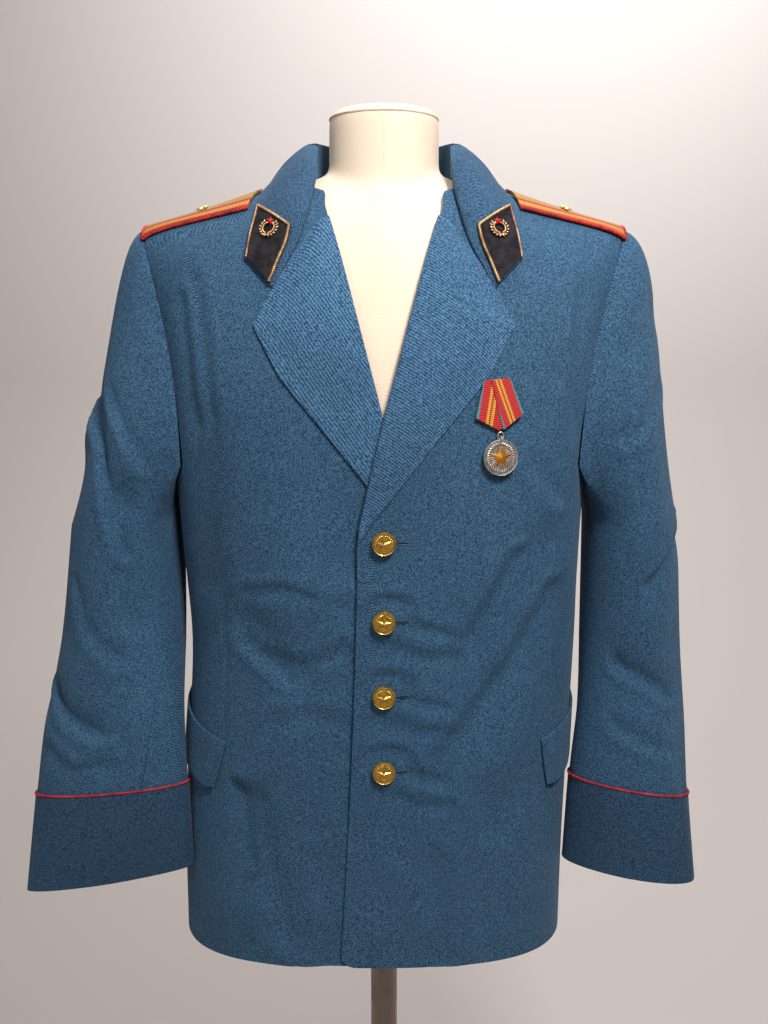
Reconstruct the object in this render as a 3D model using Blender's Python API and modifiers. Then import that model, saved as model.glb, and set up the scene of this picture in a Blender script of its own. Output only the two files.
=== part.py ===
"""A military uniform jacket on a limbless dress form with a pole stand.

Metres, +Z up. The origin is the middle of the base's underside, on the floor.
The jacket's front faces -Y, and the wearer's left is at +X. Each cloth piece is
a closed wall between two sheets of points, both worked out from the tables
below; neighbouring pieces stay one seam gap apart.
"""

import math
from collections import namedtuple

import bmesh
import bpy
from mathutils import Matrix, Vector

# ---- Driving dimensions ----

WALL = 0.002  # cloth with its interlining
SEAM = 0.0004  # gap between pieces that meet
LIE = 0.0004  # gap under what lies on a panel

ARMPIT = 1.19  # height where the body's sections end and the shoulders begin
HEM_FRONT = 0.688
HEM_SIDE = 0.675
SECTION_POWER = 2.5  # of the body's superellipse sections: 2 would be an ellipse

Section = namedtuple("Section", "z half_width front back sway")
BODY = (
    Section(0.675, 0.206, 0.127, 0.124, -0.012),
    Section(0.780, 0.205, 0.126, 0.126, -0.011),
    Section(0.880, 0.203, 0.124, 0.120, -0.007),
    Section(1.000, 0.200, 0.122, 0.107, -0.001),
    Section(1.100, 0.203, 0.127, 0.110, -0.003),
    Section(1.190, 0.207, 0.130, 0.117, -0.004),
)

ARM_X = 0.190  # half-width of the chest between the armholes, at armpit height
TIP_X = 0.2290  # half-width at the shoulder tips
NECK_X = 0.078
NECK_Z = 1.4615  # where collar, front and back meet at the side of the neck
SHOULDER_FALL = 0.335  # drop of the shoulder line for each metre outwards
RISE_POWER = 0.9
ARMHOLE_SCOOP = 0.045  # how much the armholes curve in between armpit and shoulder
SHOULDER_SQUARE = 0.5  # how much the padding squares the shoulder's end
NECK_BACK_Z = 1.448  # neckline at the centre of the back
UNDERARM_DIP = 0.055  # share of the body's height that the armhole dips at the side
ARMHOLE_FRONT = 64.0  # degrees round a section, from the front
ARMHOLE_BACK = 116.0
SIDE_SEAM = 104.0

EDGE_X = -0.0245  # front edge of the left front, past the centre line
EDGE_SWING = -0.019  # how far the edge swings out by the hem
EDGE_TOP = 1.124  # where the lapel turns back
CORNER = 0.014  # radius of the front hem corner
UNDERLAP = 0.0032  # how far the right front lies behind the left
LAPEL_UNDERLAP = 0.0062  # the same, where the right lapel lies between them

BUTTON_Z = (1.127, 1.051, 0.976, 0.900)
BUTTON_R = 0.0110
BUTTON_HEIGHT = 0.0075

FLAP_TOP = 0.917
FLAP_DEPTH = 0.055
FLAP_STANDS = 0.0012  # how much more a flap's lower edge stands off
FLAP_RISE = 0.026  # how much higher its rear end is
FLAP_WALL = 0.0024
FLAP_FRONT, FLAP_BACK = 0.155, 0.030  # front corner's x, rear corner's y

BOARD_WALL = 0.003
STAR_LIES = 0.0012  # more gap under a star, on the curved board
BOARD_LIES = 0.0012  # gap between a board's underside and the ridge of the shoulder
BOARD_FRONT, BOARD_BACK = -0.052, -0.006  # y of its long edges at the neck's end
BOARD_FORWARD = (0.012, 0.008)  # how far back those edges run by the outer end
STAR_AT = (0.47, 0.40)  # the star's share along and across its board
BOARD_INNER, BOARD_OUTER = 0.1262, 0.2275
BOARD_SLANT = 0.0085  # how much nearer the neck the inner end's rear corner lies
STAR_R = 0.0068

TAB_WALL = 0.0018
TAB_LIES = 0.0009  # gap under a tab, on the curved leaf
TAB_MARGIN = 0.07  # share of the leaf's depth left free on each side
TAB_START, TAB_SPAN = 0.06, 2.17  # the tab's place along the collar, in its table's rows
TAB_TAPER = 0.05  # how much more of the leaf the tab leaves free at its far end
TAB_SLANT = 0.15  # how much further it reaches at its outer side
EMBLEM_R = 0.0098
EMBLEM_HEIGHT = 0.0026
EMBLEM_AT = 0.74  # the emblem's place along a tab

MEDAL_X, MEDAL_Z = 0.1035, 1.2515  # middle of the ribbon bar
RIBBON_WIDTH, RIBBON_HEIGHT = 0.0245, 0.0460
RIBBON_FLARE = 0.0105  # how far the ribbon's lower corners stand out
RIBBON_TILT = 4.5  # degrees that the bar is pinned askew
MEDAL_DISC_R = 0.0165
MEDAL_WALL = 0.0026

FORM_FOOT = 0.745
FORM_NECK_Y = -0.002
POLE_R = 0.015
BASE_R, BASE_HEIGHT = 0.175, 0.016

CLOTH_COLOR = (0.022, 0.078, 0.128)
FORM_COLOR = (0.80, 0.73, 0.62)
GILT_COLOR = (0.70, 0.43, 0.09)
BOARD_COLOR = (0.56, 0.30, 0.10)
TAB_COLOR = (0.012, 0.012, 0.018)
RIBBON_COLOR = (0.52, 0.05, 0.03)
DISC_COLOR = (0.42, 0.36, 0.27)
STEEL_COLOR = (0.23, 0.19, 0.16)

# The lapel's roll line, from where it turns back to the neck.
Outline = namedtuple("Outline", "z x")
ROLL_LINE = (
    Outline(1.124, -0.0245),
    Outline(1.178, -0.0125),
    Outline(1.232, 0.0000),
    Outline(1.300, 0.0175),
    Outline(1.373, 0.0370),
    Outline(1.430, 0.0540),
)

# Troughs (depth > 0) and ridges of the body, on the front or the back.
Fold = namedtuple("Fold", "face side x_from z_from x_to z_to width depth")
BODY_FOLDS = (
    Fold("front", -1, 0.125, 1.040, 0.085, 0.985, 0.020, 0.0035),
    Fold("front", -1, 0.142, 0.858, 0.135, 0.775, 0.020, 0.0045),
    Fold("front", -1, 0.165, 1.230, 0.172, 1.080, 0.018, 0.0030),
    Fold("front", 1, 0.150, 1.120, 0.085, 1.020, 0.022, 0.0035),
    Fold("front", 1, 0.165, 1.060, 0.060, 0.900, 0.020, 0.0030),
    Fold("front", 1, 0.120, 0.860, 0.110, 0.740, 0.024, 0.0030),
    Fold("back", -1, 0.150, 1.110, 0.050, 1.020, 0.026, 0.0040),
    Fold("back", 1, 0.150, 1.090, 0.060, 1.010, 0.026, 0.0040),
    Fold("back", -1, 0.100, 0.900, 0.110, 0.720, 0.028, 0.0040),
    Fold("back", 1, 0.105, 0.880, 0.100, 0.720, 0.028, 0.0040),
)

# Rings of a sleeve below its cap: centre, half-sizes, turn and tilt in degrees.
Ring = namedtuple("Ring", "z x y across deep turn tilt")
SLEEVES = {
    -1: (
        Ring(0.760, 0.2835, -0.079, 0.0840, 0.020, 8.0, 6.5),
        Ring(0.857, 0.2785, -0.068, 0.0760, 0.030, 5.0, 3.5),
        Ring(0.930, 0.2755, -0.055, 0.0700, 0.042, 2.0, 4.0),
        Ring(1.010, 0.2680, -0.030, 0.0620, 0.058, 0.0, 3.0),
        Ring(1.125, 0.2630, -0.006, 0.0540, 0.078, 0.0, 0.0),
    ),
    1: (
        Ring(0.764, 0.2550, -0.067, 0.0670, 0.032, 22.0, 3.5),
        Ring(0.862, 0.2525, -0.058, 0.0595, 0.038, 20.0, 6.0),
        Ring(0.930, 0.2550, -0.044, 0.0540, 0.046, 12.0, 3.0),
        Ring(1.010, 0.2550, -0.022, 0.0500, 0.062, 4.0, 2.0),
        Ring(1.125, 0.2530, -0.006, 0.0450, 0.078, 0.0, 0.0),
    ),
}
SLEEVE_POWER = 2.2
SLEEVE_START = 0.0014  # the sleeve begins this far outside the armhole
CAP_ROUND = {-1: 0.030, 1: 0.047}  # how far the cap bulges out beyond the shoulder
CAP_LEAN = {-1: 0.40, 1: 0.32}  # how much the upper arm hangs inwards
CUFF_PIPE_Z = {-1: 0.857, 1: 0.8575}
CUFF_STANDS = 0.0012  # how much the cuff stands off the sleeve's line
HIND_SEAM = 246.0  # degrees round the sleeve, from the outside

SeamPlace = namedtuple("SeamPlace", "z angle")
FRONT_SEAM = (
    SeamPlace(0.850, 112.0),
    SeamPlace(0.950, 132.0),
    SeamPlace(1.060, 165.0),
    SeamPlace(1.125, 174.0),
    SeamPlace(1.200, 176.0),
)

SleeveFold = namedtuple("SleeveFold", "side angle_from z_from angle_to z_to width depth")
SLEEVE_FOLDS = (
    SleeveFold(-1, -10, 1.225, 10, 1.215, 0.026, -0.0070),
    SleeveFold(-1, 30, 1.240, 100, 1.150, 0.016, 0.0050),
    SleeveFold(-1, 100, 1.160, 110, 1.040, 0.016, 0.0040),
    SleeveFold(-1, 30, 0.955, 75, 0.930, 0.018, 0.0040),
    SleeveFold(1, 25, 1.120, 80, 1.070, 0.016, 0.0040),
    SleeveFold(1, 30, 1.330, 70, 1.300, 0.018, 0.0030),
    SleeveFold(1, 50, 0.960, 110, 0.990, 0.020, 0.0040),
    SleeveFold(-1, 230, 1.180, 300, 1.120, 0.018, 0.0040),
    SleeveFold(1, 230, 1.180, 300, 1.120, 0.018, 0.0040),
)

# The lapel's outline beyond its roll line, from the lower end to the gorge.
LAPEL_EDGE = (
    Outline(1.1255, -0.0240),
    Outline(1.1440, -0.0120),
    Outline(1.2095, 0.0390),
    Outline(1.2770, 0.0930),
    Outline(1.3215, 0.1165),
    Outline(1.3360, 0.1085),
    Outline(1.3530, 0.0985),
    Outline(1.3750, 0.0855),
    Outline(1.4010, 0.0680),
)

# The collar's leaf, from its front end to the centre of the back: the places of
# its crease and free edge over the jacket, and the crease's height above it.
Leaf = namedtuple("Leaf", "crease_x crease_y lift edge_x edge_y")
COLLAR = (
    Leaf(0.0990, -0.1005, 0.0030, 0.1252, -0.0850),
    Leaf(0.0900, -0.0960, 0.0030, 0.1225, -0.0725),
    Leaf(0.0780, -0.0870, 0.0040, 0.1190, -0.0585),
    Leaf(0.0690, -0.0690, 0.0110, 0.1160, -0.0400),
    Leaf(0.0660, -0.0420, 0.0200, 0.1130, -0.0160),
    Leaf(0.0680, -0.0080, 0.0260, 0.1110, 0.0120),
    Leaf(0.0610, 0.0260, 0.0340, 0.0980, 0.0440),
    Leaf(0.0360, 0.0530, 0.0440, 0.0600, 0.0780),
    Leaf(0.0000, 0.0630, 0.0500, 0.0000, 0.0900),
)
COLLAR_LIES = 0.0032  # height of the leaf's outer face above the jacket
STAND_FROM = 3  # the collar's stand begins at this row of the table


# ---- Reading the tables ----


def read(rows, column, at):
    """Smooth value of a table's column where its first column reads `at`."""
    keys = [row[0] for row in rows]
    values = [getattr(row, column) for row in rows]
    return curve(keys, values, at)


def curve(keys, values, at):
    """Cubic through the values, level with its neighbours' slope at each key."""
    last = len(keys) - 1
    at = min(max(at, keys[0]), keys[last])
    i = max(j for j in range(last) if keys[j] <= at + 1e-12)
    span = keys[i + 1] - keys[i]
    slopes = []
    for j in (i, i + 1):
        low, high = max(j - 1, 0), min(j + 1, last)
        slopes.append((values[high] - values[low]) / (keys[high] - keys[low]) * span)
    t = (at - keys[i]) / span
    return (
        values[i] * (1 + 2 * t) * (1 - t) ** 2
        + slopes[0] * t * (1 - t) ** 2
        + values[i + 1] * t * t * (3 - 2 * t)
        + slopes[1] * t * t * (t - 1)
    )


def ease(low, high, at):
    """Smooth step from 0 at low to 1 at high."""
    t = min(max((at - low) / (high - low), 0.0), 1.0)
    return t * t * (3 - 2 * t)


def steps(low, high, count):
    """Evenly spaced numbers from low to high, both included."""
    return [low + (high - low) * i / (count - 1) for i in range(count)]


def signed_power(value, power):
    """abs(value) to a power, with value's sign."""
    return math.copysign(abs(value) ** power, value)


# ---- The torso's surface ----


def section_point(side, phi, z):
    """Point of the body's section at height z; phi is 0 in front and 180 behind."""
    angle = math.radians(phi)
    across = signed_power(math.sin(angle), 2 / SECTION_POWER)
    ahead = signed_power(math.cos(angle), 2 / SECTION_POWER)
    depth = read(BODY, "front" if ahead >= 0 else "back", z)
    x = read(BODY, "sway", z) + side * read(BODY, "half_width", z) * across
    return Vector((x, -depth * ahead, z))


def hem_height(phi):
    """Height of the hem: the fronts are a little shorter than the sides."""
    across = math.sin(math.radians(min(abs(phi), 90.0)))
    return HEM_FRONT + (HEM_SIDE - HEM_FRONT) * across**2


def shoulder_height(x):
    """Height of the shoulder line at a distance x from the centre."""
    middle = math.sin(math.pi * min(max((x - NECK_X) / (TIP_X - NECK_X), 0.0), 1.0))
    return NECK_Z - SHOULDER_FALL * (x - NECK_X) - 0.003 * middle


def squareness(x0):
    """Exponent of the arch from chest to shoulder: lower is squarer."""
    return 1.0 - SHOULDER_SQUARE * (x0 / ARM_X) ** 2


def reach(phi):
    """Half-width of the armpit's section at phi."""
    across = signed_power(math.sin(math.radians(phi)), 2 / SECTION_POWER)
    return abs(BODY[-1].half_width * across)


def spread_at(rise):
    """Widening of the body from the armpit to the shoulder line, at a share of the rise."""
    return 1 + (TIP_X / ARM_X - 1) * rise - ARMHOLE_SCOOP * math.sin(math.pi * rise)


def torso(side, phi, level):
    """The base surface. Level runs 0 to 1 from hem to armpit, and to 2 at the shoulder line."""
    if level <= 1:
        hem = hem_height(phi)
        return section_point(side, phi, hem + level * (ARMPIT - hem))
    base = section_point(side, phi, ARMPIT)
    turn = (level - 1) * math.pi / 2
    rise = math.sin(turn) ** RISE_POWER
    x0 = reach(phi)
    top = shoulder_height(x0 * TIP_X / ARM_X)
    ahead = max(math.cos(turn), 0.0) ** squareness(x0)
    x = base.x * spread_at(rise) - BODY[-1].sway * rise
    return Vector((x, base.y * ahead, ARMPIT + (top - ARMPIT) * rise))


def torso_normal(side, phi, level):
    """Outward normal of the base surface."""
    e = 0.02
    high = min(level + e, 1.995)
    low = high - 2 * e
    along = torso(side, phi + 1, level) - torso(side, phi - 1, level)
    up = torso(side, phi, high) - torso(side, phi, low)
    return side * along.cross(up).normalized()


def level_at(phi, z):
    """Level of a height z on the body below the armpit."""
    hem = hem_height(phi)
    return (z - hem) / (ARMPIT - hem)


def level_over_shoulder(phi, y):
    """Level above the armpit where the surface is at depth y."""
    base = section_point(1, phi, ARMPIT)
    share = min(abs(y / base.y), 1.0)
    return 1 + math.acos(share ** (1 / squareness(reach(phi)))) / (math.pi / 2)


def angle_at(x, z, side=1):
    """phi on the front at sideways place x, below the armpit."""
    share = (x - side * read(BODY, "sway", z)) / read(BODY, "half_width", z)
    return math.degrees(math.asin(signed_power(min(share, 1.0), SECTION_POWER / 2)))


def place_on_front(x, z, side=1):
    """(phi, level) of the front surface's point at (side * x, z)."""
    if z <= ARMPIT:
        phi = angle_at(x, z, side)
        return phi, level_at(phi, z)
    rise = 0.5
    for _ in range(30):
        x0 = (x + side * BODY[-1].sway * rise) / spread_at(rise)
        top = shoulder_height(abs(x0 - side * BODY[-1].sway) * TIP_X / ARM_X)
        rise = min((z - ARMPIT) / (top - ARMPIT), 0.9999)
    turn = math.asin(rise ** (1 / RISE_POWER))
    return angle_at(x0, ARMPIT, side), 1 + turn / (math.pi / 2)


def place_over_shoulder(x, y):
    """(phi, level) near the shoulder line, at (x, y); y below 0 is in front."""
    rise = 0.9
    for _ in range(30):
        x0 = (x + BODY[-1].sway * rise) / spread_at(rise)
        phi = angle_at(x0, ARMPIT)
        phi = phi if y < 0 else 180 - phi
        level = level_over_shoulder(phi, y)
        rise = math.sin((level - 1) * math.pi / 2) ** RISE_POWER
    return phi, level


def fold_depth(side, phi, point):
    """How far the folds push the surface in at a point."""
    face = "front" if phi < 90 else "back"
    total = 0.0
    for fold in BODY_FOLDS:
        if fold.face != face or fold.side != side:
            continue
        start = Vector((fold.x_from, fold.z_from))
        run = Vector((fold.x_to, fold.z_to)) - start
        here = Vector((abs(point.x), point.z)) - start
        along = min(max(here.dot(run) / run.length_squared, 0.0), 1.0)
        away = (here - run * along).length
        total += fold.depth * math.exp(-((away / fold.width) ** 2))
    return total


def underlap(side, phi, point):
    """How far the right front lies behind the left along the closing."""
    if side > 0:
        return 0.0
    inner = ease(-0.100, -0.034, point.x)
    waist = UNDERLAP + (LAPEL_UNDERLAP - UNDERLAP) * ease(1.075, 1.105, point.z)
    return inner * waist * (1 - ease(1.238, 1.340, point.z))


def cloth(side, phi, level, out=0.0):
    """Outer surface of the jacket's body, moved out by `out`."""
    point = torso(side, phi, level)
    push = out - underlap(side, phi, point)
    if level < 1.9:
        push -= fold_depth(side, phi, point)
    return point + torso_normal(side, phi, level) * push


# ---- Making meshes ----


def material(name, color, roughness=0.8, metallic=0.0):
    """The named material, made once."""
    found = bpy.data.materials.get(name)
    if found:
        return found
    made = bpy.data.materials.new(name)
    made.use_nodes = True
    made.diffuse_color = (*color, 1.0)
    shader = made.node_tree.nodes["Principled BSDF"]
    shader.inputs["Base Color"].default_value = (*color, 1.0)
    shader.inputs["Roughness"].default_value = roughness
    shader.inputs["Metallic"].default_value = metallic
    return made


def add_object(name, mesh, finish, smooth=True):
    """Puts a mesh in the jacket's collection as an object."""
    if smooth:
        mesh.shade_smooth()
        mesh.set_sharp_from_angle(angle=math.radians(40))
    mesh.materials.append(finish)
    made = bpy.data.objects.new(name, mesh)
    bpy.data.collections[COLLECTION].objects.link(made)
    return made


def double(surface, *place, out=0.0, wall=WALL):
    """Both sides of a wall at a place: its outer and its inner point."""
    return surface(*place, out), surface(*place, out - wall)


def halves(corners):
    """A wall's three or four corners as triangles, cut across the same way on both faces."""
    if len(corners) == 3:
        return [corners]
    a, b, c, d = corners
    if (a[0].co - c[0].co).length <= (b[0].co - d[0].co).length:
        return [[a, b, c], [a, c, d]]
    return [[a, b, d], [b, c, d]]


def cloth_piece(name, patches, finish):
    """A closed wall from grids of (outer, inner) points; equal points are shared."""
    shape = bmesh.new()
    known = {}
    borders = {}

    def vertices(pair):
        key = tuple(round(value, 6) for value in pair[0])
        if key not in known:
            known[key] = tuple(shape.verts.new(point) for point in pair)
        return known[key]

    for patch in patches:
        rows = [[vertices(pair) for pair in row] for row in patch]
        for low, high in zip(rows, rows[1:]):
            for i in range(len(low) - 1):
                corners = list(dict.fromkeys((low[i], low[i + 1], high[i + 1], high[i])))
                if len(corners) < 3:
                    continue
                for triangle in halves(corners):
                    shape.faces.new([outer for outer, _ in triangle])
                    shape.faces.new([inner for _, inner in triangle[::-1]])
                for ends in zip(corners, corners[1:] + corners[:1]):
                    borders.setdefault(frozenset(ends), []).append(ends)
    for used in borders.values():
        if len(used) == 1:
            (a, b) = used[0]
            shape.faces.new((b[0], a[0], a[1], b[1]))
    return add_object(name, finished(shape, name), finish)


def finished(shape, name):
    """Mesh of a closed shape, with its faces turned outwards."""
    bmesh.ops.recalc_face_normals(shape, faces=shape.faces[:])
    mesh = bpy.data.meshes.new(name)
    shape.to_mesh(mesh)
    shape.free()
    return mesh


def turned(name, profile, finish, place, segments=20):
    """A turned piece from (radius, height) pairs, from the top down its outside."""
    mesh = bpy.data.meshes.new(name)
    points = [(radius, 0.0, height) for radius, height in profile]
    mesh.from_pydata(points, [(i, i + 1) for i in range(len(points) - 1)], [])
    piece = add_object(name, mesh, finish, smooth=False)
    screw = piece.modifiers.new("turned", "SCREW")
    screw.steps = screw.render_steps = segments
    screw.use_merge_vertices = True
    screw.merge_threshold = 0.00001
    screw.use_smooth_shade = True
    piece.matrix_world = place
    return piece


def facing(point, normal, up=Vector((0, 0, 1))):
    """Matrix that puts local Z along the normal and local Y as near `up` as it goes."""
    z = normal.normalized()
    y = (up - z * up.dot(z)).normalized()
    turn = Matrix((y.cross(z), y, z)).transposed().to_4x4()
    return Matrix.Translation(point) @ turn


def plate(name, outline, thickness, finish, place, holes=()):
    """A flat outline, thickened evenly to both sides."""
    data = bpy.data.curves.new(name, "CURVE")
    data.dimensions = "2D"
    data.fill_mode = "BOTH"
    data.extrude = thickness / 2
    for loop in (outline, *holes):
        spline = data.splines.new("POLY")
        spline.points.add(len(loop) - 1)
        for target, (x, y) in zip(spline.points, loop):
            target.co = (x, y, 0.0, 1.0)
        spline.use_cyclic_u = True
    guide = bpy.data.objects.new(name + "_outline", data)
    bpy.data.collections[COLLECTION].objects.link(guide)
    graph = bpy.context.evaluated_depsgraph_get()
    mesh = bpy.data.meshes.new_from_object(guide.evaluated_get(graph))
    bpy.data.objects.remove(guide)
    shape = bmesh.new()
    shape.from_mesh(mesh)
    bmesh.ops.remove_doubles(shape, verts=shape.verts, dist=1e-6)
    shape.to_mesh(mesh)
    shape.free()
    mesh.materials.clear()
    mesh.name = name
    made = add_object(name, mesh, finish)
    made.matrix_world = place
    return made


def circle(radius, count, x=0.0, y=0.0):
    """Points round a circle."""
    turns = [2 * math.pi * i / count for i in range(count)]
    return [(x + radius * math.cos(a), y + radius * math.sin(a)) for a in turns]


def star(outer, inner):
    """Ten corners of a five-pointed star, one point up."""
    radii = [outer if i % 2 == 0 else inner for i in range(10)]
    turns = [math.pi / 2 + math.pi * i / 5 for i in range(10)]
    return [(r * math.cos(a), r * math.sin(a)) for r, a in zip(radii, turns)]


# ---- Body panels ----

RISES = (0.0, 0.10, 0.20, 0.38, 0.54, 0.68, 0.80, 0.895, 0.955, 0.987)  # rows above the armpit
BY_SEAM = 0.0015  # a row or column of points this near a seam squares the wall's end


def edge_x(z):
    """Inner limit of the fronts: their closing edge, the roll line, then the neckline."""
    if z <= EDGE_TOP:
        swing = EDGE_SWING * ((EDGE_TOP - z) / (EDGE_TOP - HEM_FRONT)) ** 1.5
        above = z - HEM_FRONT
        corner = 0.0
        if above < CORNER:
            corner = CORNER - math.sqrt(max(CORNER**2 - (CORNER - above) ** 2, 0.0))
        return EDGE_X + swing + corner
    return read(ROLL_LINE, "x", z)


def mirrored_edge_x(side, z):
    """The same limit for either front. The right front's edge hangs straight."""
    if side > 0 or z > EDGE_TOP:
        return edge_x(z)
    return EDGE_X + 0.3 * (edge_x(z) - EDGE_X)


def inner_angle(side, level):
    """phi where a row of the front panel meets its inner limit."""
    low, high = -30.0, ARMHOLE_FRONT
    for _ in range(40):
        middle = (low + high) / 2
        point = torso(side, middle, level)
        limit = mirrored_edge_x(side, point.z)
        if level > 1.45:
            limit = max(limit, NECK_X * ease(1.45, 1.85, level))
        if side * point.x < limit:
            low = middle
        else:
            high = middle
    return high


def rim_level(phi):
    """Level of a panel's top edge at the shoulder seam."""
    return level_over_shoulder(phi, SEAM / 2)


def turn_for(side, phi, level, distance):
    """Degrees of phi that run the given distance along the body at a place."""
    run = torso(side, phi + 0.5, level) - torso(side, phi - 0.5, level)
    return distance / run.length


def underarm_level(phi):
    """Level of the armhole's lower edge."""
    share = (phi - ARMHOLE_FRONT) / (ARMHOLE_BACK - ARMHOLE_FRONT)
    return 1 - UNDERARM_DIP * math.sin(math.pi * min(max(share, 0.0), 1.0)) ** 0.8


def under_arm_patch(side, armhole_phi, toward_seam, columns, levels):
    """Grid of the panel's part below the armhole, as far as the side seam."""
    patch = []
    for level in levels:
        seam = turn_for(side, SIDE_SEAM, level, 0.8 * SEAM)
        near = turn_for(side, SIDE_SEAM, level, BY_SEAM)
        edge = SIDE_SEAM + toward_seam * seam
        phis = steps(armhole_phi, edge + toward_seam * near, columns) + [edge]
        patch.append([double(cloth, side, phi, level * underarm_level(phi)) for phi in phis])
    return patch


def front_panel(side, columns=12, rows=10):
    """Front panel: from the closing to the armhole, and on to the side seam."""
    low = [0.0, 0.008, 0.028] + steps(0.09, 1.0, rows - 3)
    main = []
    for level in low + [1 + rise for rise in RISES[1:]] + [2.0]:
        row = []
        inner = inner_angle(side, level)
        for share in steps(0.0, 1.0, columns):
            phi = inner + (ARMHOLE_FRONT - inner) * share
            row.append(double(cloth, side, phi, min(level, rim_level(phi))))
        main.append(row)
    sides = under_arm_patch(side, ARMHOLE_FRONT, -1, 4, low)
    name = "front_left" if side > 0 else "front_right"
    finish = material("cloth", CLOTH_COLOR, 0.9)
    return cloth_piece(name, [main, sides], finish)


def back_top(phi):
    """Level of the back's upper edge: the neckline, then the shoulder seam."""
    x0 = reach(phi) * TIP_X / ARM_X
    if x0 >= NECK_X:
        return rim_level(phi)
    z = NECK_BACK_Z + (NECK_Z - NECK_BACK_Z) * (x0 / NECK_X) ** 2
    rise = (z - ARMPIT) / (shoulder_height(x0) - ARMPIT)
    neckline = 1 + math.asin(rise ** (1 / RISE_POWER)) / (math.pi / 2)
    return neckline + (rim_level(phi) - neckline) * ease(0.8, 1.0, x0 / NECK_X)


def back_panel(side, columns=8, rows=9):
    """One half of the back, from the centre seam to the side seam."""
    low = [0.0] + steps(0.07, 1.0, rows - 1)
    phis = steps(ARMHOLE_BACK, 180.0 - center_turn(0.004), columns)
    phis.append(180.0 - center_turn(SEAM * 0.8))
    main = [[double(cloth, side, phi, level) for phi in phis] for level in low]
    for rise in RISES[1:] + (1.0,):
        main.append([double(cloth, side, p, 1 + rise * (back_top(p) - 1)) for p in phis])
    sides = under_arm_patch(side, ARMHOLE_BACK, 1, 3, low)
    name = "back_left" if side > 0 else "back_right"
    finish = material("cloth", CLOTH_COLOR, 0.9)
    return cloth_piece(name, [main, sides], finish)


def center_turn(distance):
    """Degrees from 180 that lie a distance from the centre of the back."""
    share = (distance / 0.2) ** (SECTION_POWER / 2)
    return math.degrees(math.asin(share))


# ---- Lapels ----


def lapel_piece(side, columns=6, rows=15):
    """The turned-back facing, from the roll line to its edge and gorge."""
    edge = LAPEL_EDGE
    length = [0.0]
    for here, after in zip(edge, edge[1:]):
        length.append(length[-1] + math.dist(here, after))
    corner = length[4] / length[-1]
    shares = sorted(set(steps(0.0, corner, rows - 5) + steps(corner, 1.0, 6)))
    grid = []
    for share in shares:
        z, x = polyline_point(edge, share * length[-1])
        roll_z = EDGE_TOP + 0.002 + (1.4165 - EDGE_TOP - 0.002) * roll_share(share, corner)
        roll_x = edge_x(roll_z)
        row = []
        for s in steps(0.0, 1.0, columns):
            px = roll_x + (x - roll_x) * s
            pz = roll_z + (z - roll_z) * s
            phi, level = place_on_front(px, pz, side)
            row.append(double(cloth, side, phi, level, out=lapel_height(side, s, pz)))
        grid.append(row)
    name = "lapel_left" if side > 0 else "lapel_right"
    return cloth_piece(name, [grid], material("cloth", CLOTH_COLOR, 0.9))


def roll_share(share, corner):
    """Where along the roll line a row of the lapel starts."""
    if share < corner:
        return 0.72 * share / corner
    return 0.72 + 0.28 * (share - corner) / (1 - corner)


def lapel_height(side, across, z):
    """How far the lapel's outer face stands off the front, from roll line to edge."""
    start = 1.150 if side > 0 else 1.245
    lift = 0.0035 * math.sin(math.pi * min(across * 1.15, 1.0)) * ease(start, start + 0.08, z)
    return WALL + 2 * LIE + lift


def polyline_point(points, distance):
    """Point a distance along a polyline."""
    for here, after in zip(points, points[1:]):
        run = math.dist(here, after)
        if distance <= run + 1e-9:
            t = distance / run
            return [a + (b - a) * t for a, b in zip(here, after)]
        distance -= run
    return list(points[-1])


# ---- Collar ----


def over_jacket(x, y):
    """Point of the jacket's surface above (x, y), and its normal there."""
    phi, level = place_over_shoulder(x, y)
    level = min(level, 1.97)
    return torso(1, phi, level), torso_normal(1, phi, level)


def collar_row(index):
    """Crease and free edge of the leaf at a place in the collar's table."""
    keys = list(range(len(COLLAR)))
    row = {n: curve(keys, [getattr(r, n) for r in COLLAR], index) for n in Leaf._fields}
    below, normal = over_jacket(row["crease_x"], row["crease_y"])
    upright = ease(2.0, 3.5, index)
    crease = below + normal.lerp(Vector((0, 0, 1)), upright) * row["lift"]
    under_edge, normal = over_jacket(row["edge_x"], row["edge_y"])
    return crease, under_edge + normal * COLLAR_LIES


def leaf_point(side, index, across, out=0.0):
    """Outer surface of the collar's leaf; across runs from the crease to the edge."""
    crease, edge = collar_row(index)
    run = edge - crease
    along = collar_row(min(index + 0.05, 8))[0] - collar_row(max(index - 0.05, 0))[0]
    normal = run.cross(along).normalized()
    if normal.z < 0:
        normal.negate()
    bulge = (0.0015 + 0.006 * ease(1.5, 3.5, index)) * math.sin(math.pi * across**0.7)
    point = crease + run * across + normal * (bulge + out)
    return Vector((side * point.x, point.y, point.z))


def collar_leaf(rows_per_step=2, columns=6):
    """The leaf, from the right front's notch round the neck to the left's."""
    last = len(COLLAR) - 1
    half = steps(0, last, last * rows_per_step + 1)
    indices = [(-1, i) for i in half] + [(1, i) for i in half[-2::-1]]
    grid = [
        [double(leaf_point, side, i, across) for across in steps(0.0, 1.0, columns)]
        for side, i in indices
    ]
    return cloth_piece("collar", [grid], material("cloth", CLOTH_COLOR, 0.9))


def stand_point(side, index, down, out=0.0):
    """Neck side of the collar's stand; down runs from the crease to the neckline."""
    crease, _ = collar_row(index)
    inward = -Vector((crease.x, crease.y, 0.0)).normalized()
    height = 0.006 + 0.026 * ease(STAND_FROM, STAND_FROM + 2.5, index)
    point = crease + inward * (0.0047 - 0.0008 * down + out)
    return Vector((side * point.x, point.y, point.z - 0.001 - height * down))


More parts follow.
